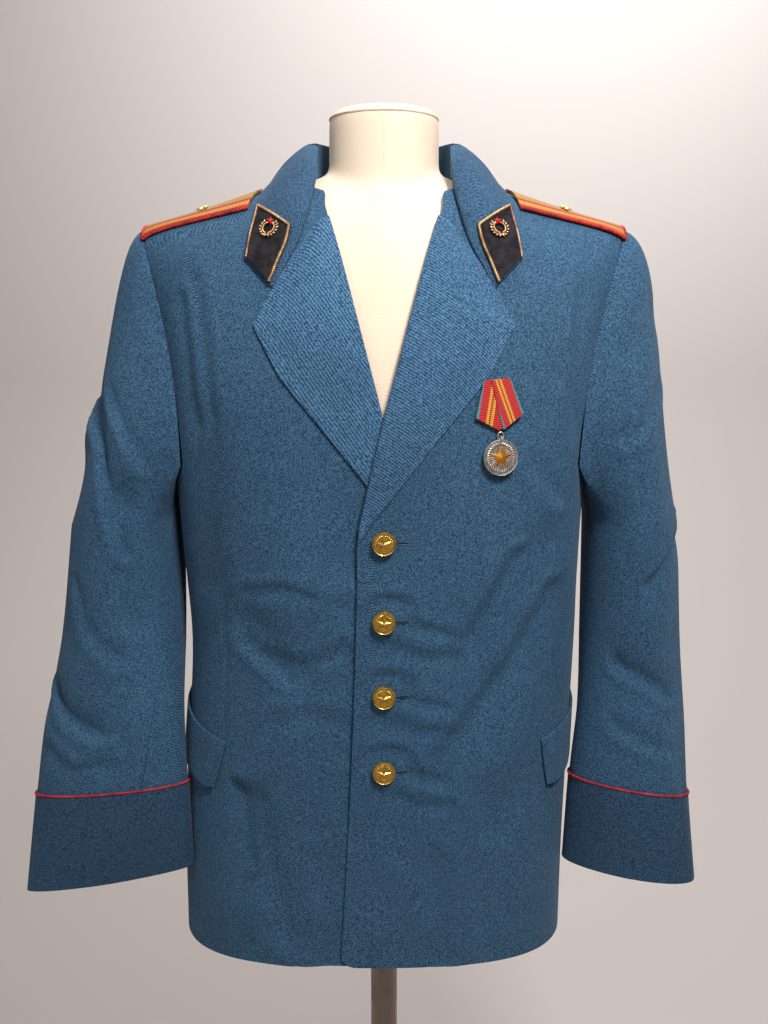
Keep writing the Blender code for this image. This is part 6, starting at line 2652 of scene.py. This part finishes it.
@dataclass
class Closing:
    """Gilt star buttons and the corded buttonholes beside them."""

    work: Haberdashery
    radius: float = 0.0112
    height: float = 0.0075
    spins: tuple[float, ...] = (4.0, -6.0, 3.0, -3.0)
    star_reach: float = 0.64
    star_waist: float = 0.40
    spray_ring: tuple[float, float] = (0.70, 0.065)
    rim_ring: tuple[float, float] = (0.93, 0.045)

    def button(self, number: int, z: float) -> None:
        """One domed button with a star and leaf sprays in relief.

        Args:
            number: The number of the button.
            z: Its height.
        """
        phi, level = TORSO.on_front(0.0, z)
        normal = TORSO.normal(1, phi, level)
        foot = cloth(1, phi, level, 2 * LIE)
        r, h = self.radius, self.height
        radii = np.concatenate([np.linspace(0, 0.86, 30), np.linspace(0.885, 1.0, 7)]) * r
        turns = np.arange(120) * 2 * np.pi / 120
        x, y = radii[:, None] * np.cos(turns), radii[:, None] * np.sin(turns)
        share = (radii / r)[:, None]
        dome = h * (0.97 - 0.24 * share**2)
        inside = star_height(x, y, self.star_reach * r, self.star_waist)
        star = np.clip(inside * 0.75, -0.0001, 0.0014) * (share < 0.68)
        spray = bell(share, *self.spray_ring) * (
            0.45 + 0.55 * np.cos(turns * 24 + np.sign(np.cos(turns)) * share * 26)
        )
        field = -0.00045 * ease(0.0, 0.12, share) * (1 - ease(0.76, 0.84, share))
        rim = 0.00075 * bell(share, *self.rim_ring) - 0.0022 * ease(self.rim_ring[0], 1.0, share)
        heights = dome + field + star + spray * 0.00055 + rim
        under = [(1.0, 0.42), (0.97, 0.30), (0.5, 0.12), (0.28, 0.0), (0.0, 0.0)]
        under = [(r * a, h * b) for a, b in under]
        place = facing(foot, normal) @ Matrix.Rotation(math.radians(self.spins[number - 1]), 4, "Z")
        mesh = relief(f"gilt_button_{number}", radii, heights, under, place)
        piece = add_object(f"gilt_button_{number}", mesh, GILT.material())
        trim(piece, "gilt", BODY, f"button_{number}")

    def hole(self, number: int, z: float) -> None:
        """A buttonhole: a dark sheet of painted shade in its slit, inside a corded edge, with a bar
        at its end.

        Args:
            number: The number of the button.
            z: Its height.
        """
        turns = np.linspace(0, 2 * np.pi, 61)[:-1]
        x = 0.0172 + 0.0062 * signed_power(np.cos(turns), 0.8)
        y = z - 0.0006 + 0.0011 * signed_power(np.sin(turns), 0.7)
        phi, level = TORSO.on_front(x, y)
        loop = cloth(1, phi, level, 0.0002)
        self.work.cord(f"buttonhole_{number}", [loop], HOLE_THREAD, 0.00055, "cloth", lobe=0.5,
                       pitch=0.0014, closed=True, step=0.0004)
        bar_z = np.linspace(z - 0.0030, z + 0.0018, 9)
        bar = cloth(1, *TORSO.on_front(np.full(9, 0.0240), bar_z), 0.0003)
        self.work.cord(f"buttonhole_bar_{number}", [bar], HOLE_THREAD, 0.0006, "cloth", lobe=0.4,
                       pitch=0.0016, step=0.0004)
        # The slit is a dark sheet of painted shade, laid where the opening is in shade.
        inside = cloth(1, phi, level, 0.00015)
        under = cloth(1, phi, level, -0.0008)
        count = len(turns)
        points = np.concatenate([inside, under, [inside.mean(axis=0), under.mean(axis=0)]])
        faces = []
        for k in range(count):
            n = (k + 1) % count
            faces += [[2 * count, k, n], [2 * count + 1, count + n, count + k]]
            faces.append([k, count + k, count + n, n])
        mesh = mesh_of(f"buttonhole_slit_{number}", points, faces)
        fix_normals(mesh)
        trim(add_object(mesh.name, mesh, SLIT_SHADE.material()), "cloth")

    def build(self) -> None:
        """Makes the four buttons and buttonholes."""
        for number, z in enumerate(BUTTON_Z, 1):
            self.button(number, z)
            self.hole(number, z)


def fix_normals(mesh: bpy.types.Mesh) -> None:
    """Turns a closed mesh's faces outwards.

    Args:
        mesh: The mesh.
    """
    shape = bmesh.new()
    shape.from_mesh(mesh)
    bmesh.ops.recalc_face_normals(shape, faces=shape.faces[:])
    shape.to_mesh(mesh)
    shape.free()


@dataclass
class Medal:
    """A pinned medal: a folded ribbon of two bands, and a disc that swings on a link."""

    work: Haberdashery
    x: float = 0.1035
    z: float = 1.2515
    width: float = 0.0245
    height: float = 0.0460
    flare: float = 0.0105
    tilt: float = 4.5
    disc_radius: float = 0.0165
    wall: float = 0.0026
    ring_radius: float = 0.0034
    wreath_ring: tuple[float, float] = (0.76, 0.07)
    dot_ring: tuple[float, float] = (0.90, 0.02)

    def place(self) -> Matrix:
        """Matrix of the medal: Z out of the chest, Y up it."""
        phi, level = TORSO.on_front(self.x, self.z)
        return facing(cloth(1, phi, level, 0.0037, fine=False), TORSO.normal(1, phi, level))

    def askew(self) -> Matrix:
        """Matrix of the ribbon, pinned at a slight tilt about its point.

        Returns:
            The matrix.
        """
        foot = Matrix.Translation((0, -self.height / 2, 0))
        turn = Matrix.Rotation(math.radians(self.tilt), 4, "Z")
        return self.place() @ foot @ turn @ foot.inverted()

    def band(self, name: str, corners: list[tuple[float, float]], low: float, high: float,
             lean: float, finish: Finish) -> bpy.types.Object:
        """A flat ribbon band with soft edges.

        Args:
            name: The piece's name.
            corners: Its outline, anticlockwise, in the medal's plane.
            low: Height of its back.
            high: Height of its face.
            lean: Degrees that its warp leans from upright.
            finish: Its finish.

        Returns:
            The band.
        """
        shape = bmesh.new()
        ring = [shape.verts.new((x, y, low)) for x, y in corners]
        face = shape.faces.new(ring)
        grown = bmesh.ops.extrude_face_region(shape, geom=[face])
        tops = [g for g in grown["geom"] if isinstance(g, bmesh.types.BMVert)]
        bmesh.ops.translate(shape, verts=tops, vec=(0, 0, high - low))
        bmesh.ops.recalc_face_normals(shape, faces=shape.faces[:])
        bmesh.ops.bevel(shape, geom=shape.edges[:], offset=0.0004, segments=2, affect="EDGES",
                        clamp_overlap=True)
        bmesh.ops.triangulate(shape, faces=shape.faces[:])
        for _ in range(2):
            long = [e for e in shape.edges if e.calc_length() > 0.004]
            bmesh.ops.subdivide_edges(shape, edges=long, cuts=1)
            bmesh.ops.triangulate(shape, faces=shape.faces[:])
        mesh = bpy.data.meshes.new(name)
        shape.to_mesh(mesh)
        shape.free()
        turn = math.radians(lean)
        points = np.array([v.co[:] for v in mesh.vertices])
        u = points[:, 0] * math.cos(turn) + points[:, 1] * math.sin(turn)
        v = points[:, 1] * math.cos(turn) - points[:, 0] * math.sin(turn)
        middle = np.array(corners)
        spread = middle[:, 0] * math.cos(turn) + middle[:, 1] * math.sin(turn)
        u = (u - spread.min()) * 0.030 / (spread.max() - spread.min())
        loops = np.array([loop.vertex_index for loop in mesh.loops])
        layer = mesh.uv_layers.new(name=UV_NAME)
        layer.data.foreach_set("uv", np.stack([u, v], axis=-1)[loops].astype(np.float32).ravel())
        mesh.shade_smooth()
        mesh.set_sharp_from_angle(angle=math.radians(50))
        mesh.transform(self.askew())
        return add_object(name, mesh, finish.material())

    def ribbon(self) -> None:
        """The two crossing bands of the ribbon."""
        half, top = self.width / 2, self.height / 2
        side = -top + 0.0135
        under = self.band(
            "ribbon_under",
            [(-half, top), (-half - self.flare, side), (-0.002, -top + 0.0006),
             (0.004, -top + 0.002), (half, top)],
            -self.wall / 2, 0.0004, -14.0, UNDER_RIBBON,
        )
        trim(under, "ribbon", BODY, "medal_bar")
        over = self.band(
            "ribbon_over",
            [(-0.0060, top - 0.0002), (0.0018, -top + 0.0010), (0.0040, -top + 0.0014),
             (half + self.flare, side), (half, top - 0.0002)],
            0.0006, self.wall / 2 + 0.0004, 16.0, OVER_RIBBON,
        )
        trim(over, "ribbon")

    def disc(self) -> None:
        """The disc with a gilt star in a wreath, its eye and its link."""
        top = self.height / 2
        centre = -top - 0.0008 - 2 * self.ring_radius - self.disc_radius
        place = self.place() @ Matrix.Translation((0, centre, -self.wall / 2))
        r = self.disc_radius
        radii = np.concatenate([np.linspace(0, 0.84, 44), np.linspace(0.86, 1.0, 9)]) * r
        turns = np.arange(180) * 2 * np.pi / 180
        share = (radii / r)[:, None]
        wreath = bell(share, *self.wreath_ring) * (
            0.5 + 0.5 * np.cos(turns * 34 + np.sign(np.cos(turns)) * share * 34)
        )
        dots = bell(share, *self.dot_ring) * (0.5 + 0.5 * np.cos(turns * 64))
        rim = 0.0005 * ease(0.93, 0.96, share) - 0.0011 * ease(0.975, 1.0, share)
        rays = 0.00010 * np.cos(turns * 30) * ease(0.2, 0.5, share) * (1 - ease(0.62, 0.68, share))
        heights = self.wall * 0.80 + 0.00050 * wreath + 0.00025 * dots + rim + rays
        under = [(r, 0.0008), (0.96 * r, 0.0), (0.5 * r, 0.0), (0.0, 0.0)]
        mesh = relief("medal_disc", radii, heights, under, place)
        disc = add_object("medal_disc", mesh, SILVER.material())
        trim(disc, "silver", PENDANT, "medal")
        lifted = place @ Matrix.Translation((0, 0.0002, self.wall * 0.80))
        star = small_star("medal_star", 0.0112, 0.0012, lifted)
        trim(add_object("medal_star", star, ORANGE_GILT.material()), "silver", PENDANT)
        line = np.linspace(0, 2 * np.pi, 33)[:-1]
        ring_y = -top - 0.0008 - self.ring_radius
        loop = stacked(0.0027 * np.cos(line), ring_y + 0.0031 * np.sin(line), 0.0)
        eye_y = centre + r + 0.0009
        eye = stacked(0.0, eye_y + 0.0019 * np.sin(line), 0.0017 * np.cos(line))
        sizes = {"Radius": 0.0006, "Lobe": 0.0, "Pitch": 0.01, "Step": 0.0006}
        for name, points in (("medal_link", loop), ("medal_eye", eye)):
            points = np.array([self.place() @ Vector(p) for p in points])
            piece = self.work.grow(name, [points], self.work.cords, SILVER, sizes, True)
            trim(piece, "silver", PENDANT)

    def build(self) -> None:
        """Makes the ribbon and the pendant."""
        self.ribbon()
        self.disc()


# ---- Dress form and stand ----


@dataclass
class Form:
    """The limbless form under its knitted cover, whole and smooth."""

    work: Haberdashery
    panels: Panels
    foot: float = 0.745
    neck_y: float = -0.002
    levels: tuple[float, ...] = (0.0, 0.35, 0.62, 0.85, 1.0, 1.35, 1.6, 1.8, 2.0)
    insets: tuple[float, ...] = (0.020, 0.021, 0.022, 0.014, 0.010, 0.0085, 0.0075, 0.0070, 0.0060)
    neck: tuple[tuple[float, float], ...] = (
        (0.0, 1.5225), (0.030, 1.5222), (0.044, 1.5212), (0.0500, 1.5185), (0.0522, 1.5140),
        (0.0528, 1.508), (0.053, 1.49), (0.053, 1.462), (0.054, 1.44), (0.058, 1.42),
        (0.066, 1.395), (0.070, 1.36), (0.0, 1.36),
    )

    def column(self, side: int, phi: float, rows: int = 60) -> Array:
        """Points up one column of the torso.

        Args:
            side: -1 for the wearer's right, 1 for the left.
            phi: Its place, in degrees round the body.
            rows: Points below the armpit.

        Returns:
            The points, from the foot up.
        """
        beside = self.panels.armhole_front < phi < self.panels.armhole_back
        top = float(self.panels.underarm(np.array(phi))) if beside else 1.985
        foot = float(TORSO.level_at(np.array(phi), self.foot))
        low = np.linspace(foot, min(top, 1.0), rows)
        high = 1 + (top - 1) * np.sin(np.linspace(0, np.pi / 2, 30))[1:] if top > 1 else low[:0]
        level = np.concatenate([low, high])
        inset = curve(self.levels, self.insets, level)
        flat = np.full(level.shape, phi)
        points = TORSO.point(side, flat, level) - TORSO.normal(side, flat, level) * inset[:, None]
        points[:, 2] = np.maximum(points[:, 2], self.foot)
        points[0, 2] = self.foot
        return points

    def torso(self) -> bpy.types.Mesh:
        """The closed torso, with flat arm ends and a flat foot.

        Returns:
            The mesh.
        """
        shape = bmesh.new()
        known: dict[tuple[float, ...], bmesh.types.BMVert] = {}

        def vertex(point: Array) -> bmesh.types.BMVert:
            """The vertex at a point, made once."""
            key = tuple(round(float(v), 5) for v in point)
            if key not in known:
                known[key] = shape.verts.new(key)
            return known[key]

        front, back = self.panels.armhole_front, self.panels.armhole_back
        for side in SIDES:
            stops = ((0, front, 26), (front, back, 17), (back, 180, 26))
            ranges = [np.linspace(*stop) for stop in stops]
            grids = []
            for phis in ranges:
                columns = [self.column(side, phi) for phi in phis]
                rows = min(len(column) for column in columns)
                grids.append(np.stack([column[:rows] for column in columns], axis=1))
            grids.append(np.stack([grids[0][-1], grids[2][-1][::-1]]))
            for grid in grids:
                for i in range(grid.shape[0] - 1):
                    for j in range(grid.shape[1] - 1):
                        cell = (grid[i, j], grid[i, j + 1], grid[i + 1, j + 1], grid[i + 1, j])
                        corners = list(dict.fromkeys(vertex(p) for p in cell))
                        if len(corners) > 2:
                            shape.faces.new(corners)
        bmesh.ops.holes_fill(shape, edges=[e for e in shape.edges if e.is_boundary], sides=0)
        bmesh.ops.triangulate(shape, faces=shape.faces[:])
        bmesh.ops.recalc_face_normals(shape, faces=shape.faces[:])
        mesh = bpy.data.meshes.new("form_torso")
        shape.to_mesh(mesh)
        shape.free()
        return mesh

    def neck_mesh(self) -> bpy.types.Mesh:
        """The turned neck with a domed cap.

        Returns:
            The mesh.
        """
        count = 96
        turns = np.arange(count) * 2 * np.pi / count
        rings = self.neck[1:-1]
        points = [(0.0, self.neck_y, self.neck[0][1])]
        for r, z in rings:
            points += [(r * math.cos(t), self.neck_y + r * math.sin(t), z) for t in turns]
        points.append((0.0, self.neck_y, self.neck[-1][1]))
        return mesh_of("form_neck", np.array(points), turned_faces(count, len(rings)))

    def build(self) -> None:
        """Joins neck and torso, softens where they meet and adds the cover's seams."""
        finish = JERSEY.material()
        body = add_object("form_skin", self.torso(), finish)
        neck = add_object("form_neck", self.neck_mesh(), finish)
        join = body.modifiers.new("neck", "BOOLEAN")
        join.operation = "UNION"
        join.object = neck
        skin = body.modifiers.new("skin", "REMESH")
        skin.mode = "VOXEL"
        skin.voxel_size = 0.0042
        soft = body.modifiers.new("soft", "SMOOTH")
        soft.factor = 0.5
        soft.iterations = 8
        graph = bpy.context.evaluated_depsgraph_get()
        mesh = bpy.data.meshes.new_from_object(body.evaluated_get(graph))
        body.modifiers.clear()
        body.data = mesh
        mesh.name = "form_skin"
        mesh.shade_smooth()
        mesh.materials.clear()
        mesh.materials.append(finish)
        bpy.data.objects.remove(neck)
        trim(body, "form", BODY, "dress_form")
        z = np.linspace(1.405, 1.507, 60)
        rings = self.neck[-2:0:-1]
        r = np.interp(z, [ring[1] for ring in rings], [ring[0] for ring in rings])
        line = stacked(0.0, self.neck_y - r * 1.001, z)
        seam = self.work.grow("form_seam", [line], self.work.stitches, FORM_THREAD,
                              {"Length": 0.0026, "Thickness": 0.0003, "Pitch": 0.0034})
        trim(seam, "form")
        turns = np.linspace(0, 2 * np.pi, 121)[:-1]
        ring = stacked(0.0521 * np.cos(turns), self.neck_y + 0.0521 * np.sin(turns), 1.5135)
        self.work.cord("form_cap_seam", [ring], FORM_THREAD, 0.0008, "form", lobe=0.15,
                       pitch=0.004, closed=True, step=0.002)


FORM_THREAD = Thread("form_thread", dye(238, 220, 196), dye(196, 168, 136), 0.85)


@dataclass
class Stand:
    """The pole and its round base, whose solids are already turned."""

    def build(self) -> None:
        """Gives the carried-over solids their steel."""
        for name, finish in (("stand_pole", POLE_STEEL), ("stand_base", BASE_STEEL)):
            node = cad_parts[name]
            node.data.materials.clear()
            node.data.materials.append(finish.material())


# ---- Studio ----


@dataclass
class Studio:
    """Floor, backdrop, lights and camera."""

    focal: float = 33.93
    eye: tuple[float, float, float] = (0.0, -0.985, 1.33)
    pitch: float = 78.5
    wall_y: float = 2.9
    wall_top: float = 5.0
    sweep: float = 1.1
    reach: float = 6.0
    glow: float = 0.24
    lights: tuple[tuple[object, ...], ...] = (
        ("key", (0.42, -1.05, 2.25), (0, 0, 1.36), 0.34, 26.5, (1.0, 0.98, 0.95)),
        ("fill", (-1.2, -1.9, 2.5), (0, 0, 1.3), 1.4, 10.5, (0.95, 0.97, 1.0)),
        ("top", (0.0, 0.3, 3.0), (0, 0, 1.2), 1.2, 22.0, (1, 1, 1)),
        ("wall", (0.7, 1.2, 3.5), (0.7, 2.9, 2.7), 2.0, 96.0, (1.0, 0.99, 0.975)),
    )

    def sweep_mesh(self) -> bpy.types.Mesh:
        """Floor that curves up into a backdrop, as a sheet with a second, reversed sheet just
        behind it.

        Returns:
            The mesh.
        """
        turns = np.linspace(0, np.pi / 2, 25)
        line = [(-self.reach, 0.0)]
        start = self.wall_y - self.sweep
        line += [(start + self.sweep * math.sin(t), self.sweep * (1 - math.cos(t))) for t in turns]
        line.append((self.wall_y, self.wall_top))
        ends = (-self.reach, self.reach)
        points = [(x, y, z) for y, z in line for x in ends]
        points += [(x, y + 0.02 * (z > 0.3), z - 0.02) for y, z in line for x in ends]
        n = len(line)
        faces = [[i, i + 1, i + 3, i + 2] for i in range(0, 2 * n - 2, 2)]
        faces += [[2 * n + k for k in (a, d, c, b)] for a, b, c, d in faces]
        return mesh_of("studio_sweep", np.array(points), faces)

    def light(self, name: str, place: tuple[float, float, float], aim: tuple[float, float, float],
              size: float, power: float, color: Color) -> None:
        """A square soft light.

        Args:
            name: The light's name.
            place: Where it stands.
            aim: Where it points.
            size: Its width.
            power: Its power, in watts.
            color: Its color.
        """
        data = bpy.data.lights.new(name, "AREA")
        data.shape = "SQUARE"
        data.size = size
        data.energy = power
        data.color = color
        lamp = bpy.data.objects.new(name, data)
        lamp.location = place
        lamp.rotation_euler = (Vector(aim) - Vector(place)).to_track_quat("-Z", "Y").to_euler()
        bpy.context.scene.collection.objects.link(lamp)

    def build(self) -> None:
        """Makes the studio."""
        sweep = add_object("studio_sweep", self.sweep_mesh(), Paint("studio_paint").material())
        for settings in self.lights:
            self.light(*settings)
        bpy.context.scene.view_settings.view_transform = "Standard"
        world = bpy.data.worlds.new("studio")
        world.use_nodes = True
        ground = world.node_tree.nodes["Background"]
        ground.inputs["Color"].default_value = rgba(dye(214, 206, 202))
        ground.inputs["Strength"].default_value = self.glow
        bpy.context.scene.world = world
        lens = bpy.data.cameras.new("camera")
        lens.lens = self.focal
        lens.sensor_width = 36.0
        lens.clip_start = 0.02
        eye = bpy.data.objects.new("camera", lens)
        eye.location = self.eye
        eye.rotation_euler = (math.radians(self.pitch), 0.0, 0.0)
        bpy.context.scene.collection.objects.link(eye)
        bpy.context.scene.camera = eye


def main() -> None:
    """Builds the jacket, the form and the studio."""
    logging.basicConfig(level=logging.INFO, format="%(message)s")
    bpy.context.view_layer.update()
    work = Haberdashery(stitch_tree(), cord_tree())
    panels = Panels(work)
    collar = Collar(work)
    parts = (
        Form(work, panels), panels, Lapels(work, panels), collar, Sleeves(work, panels),
        Flaps(work), Boards(work), Tabs(work, collar), Closing(work), Medal(work), Stand(),
        Studio(),
    )
    for part in parts:
        part.build()
        log.info("made %s", type(part).__name__.lower())
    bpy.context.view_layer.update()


if __name__ == "__main__":
    main()
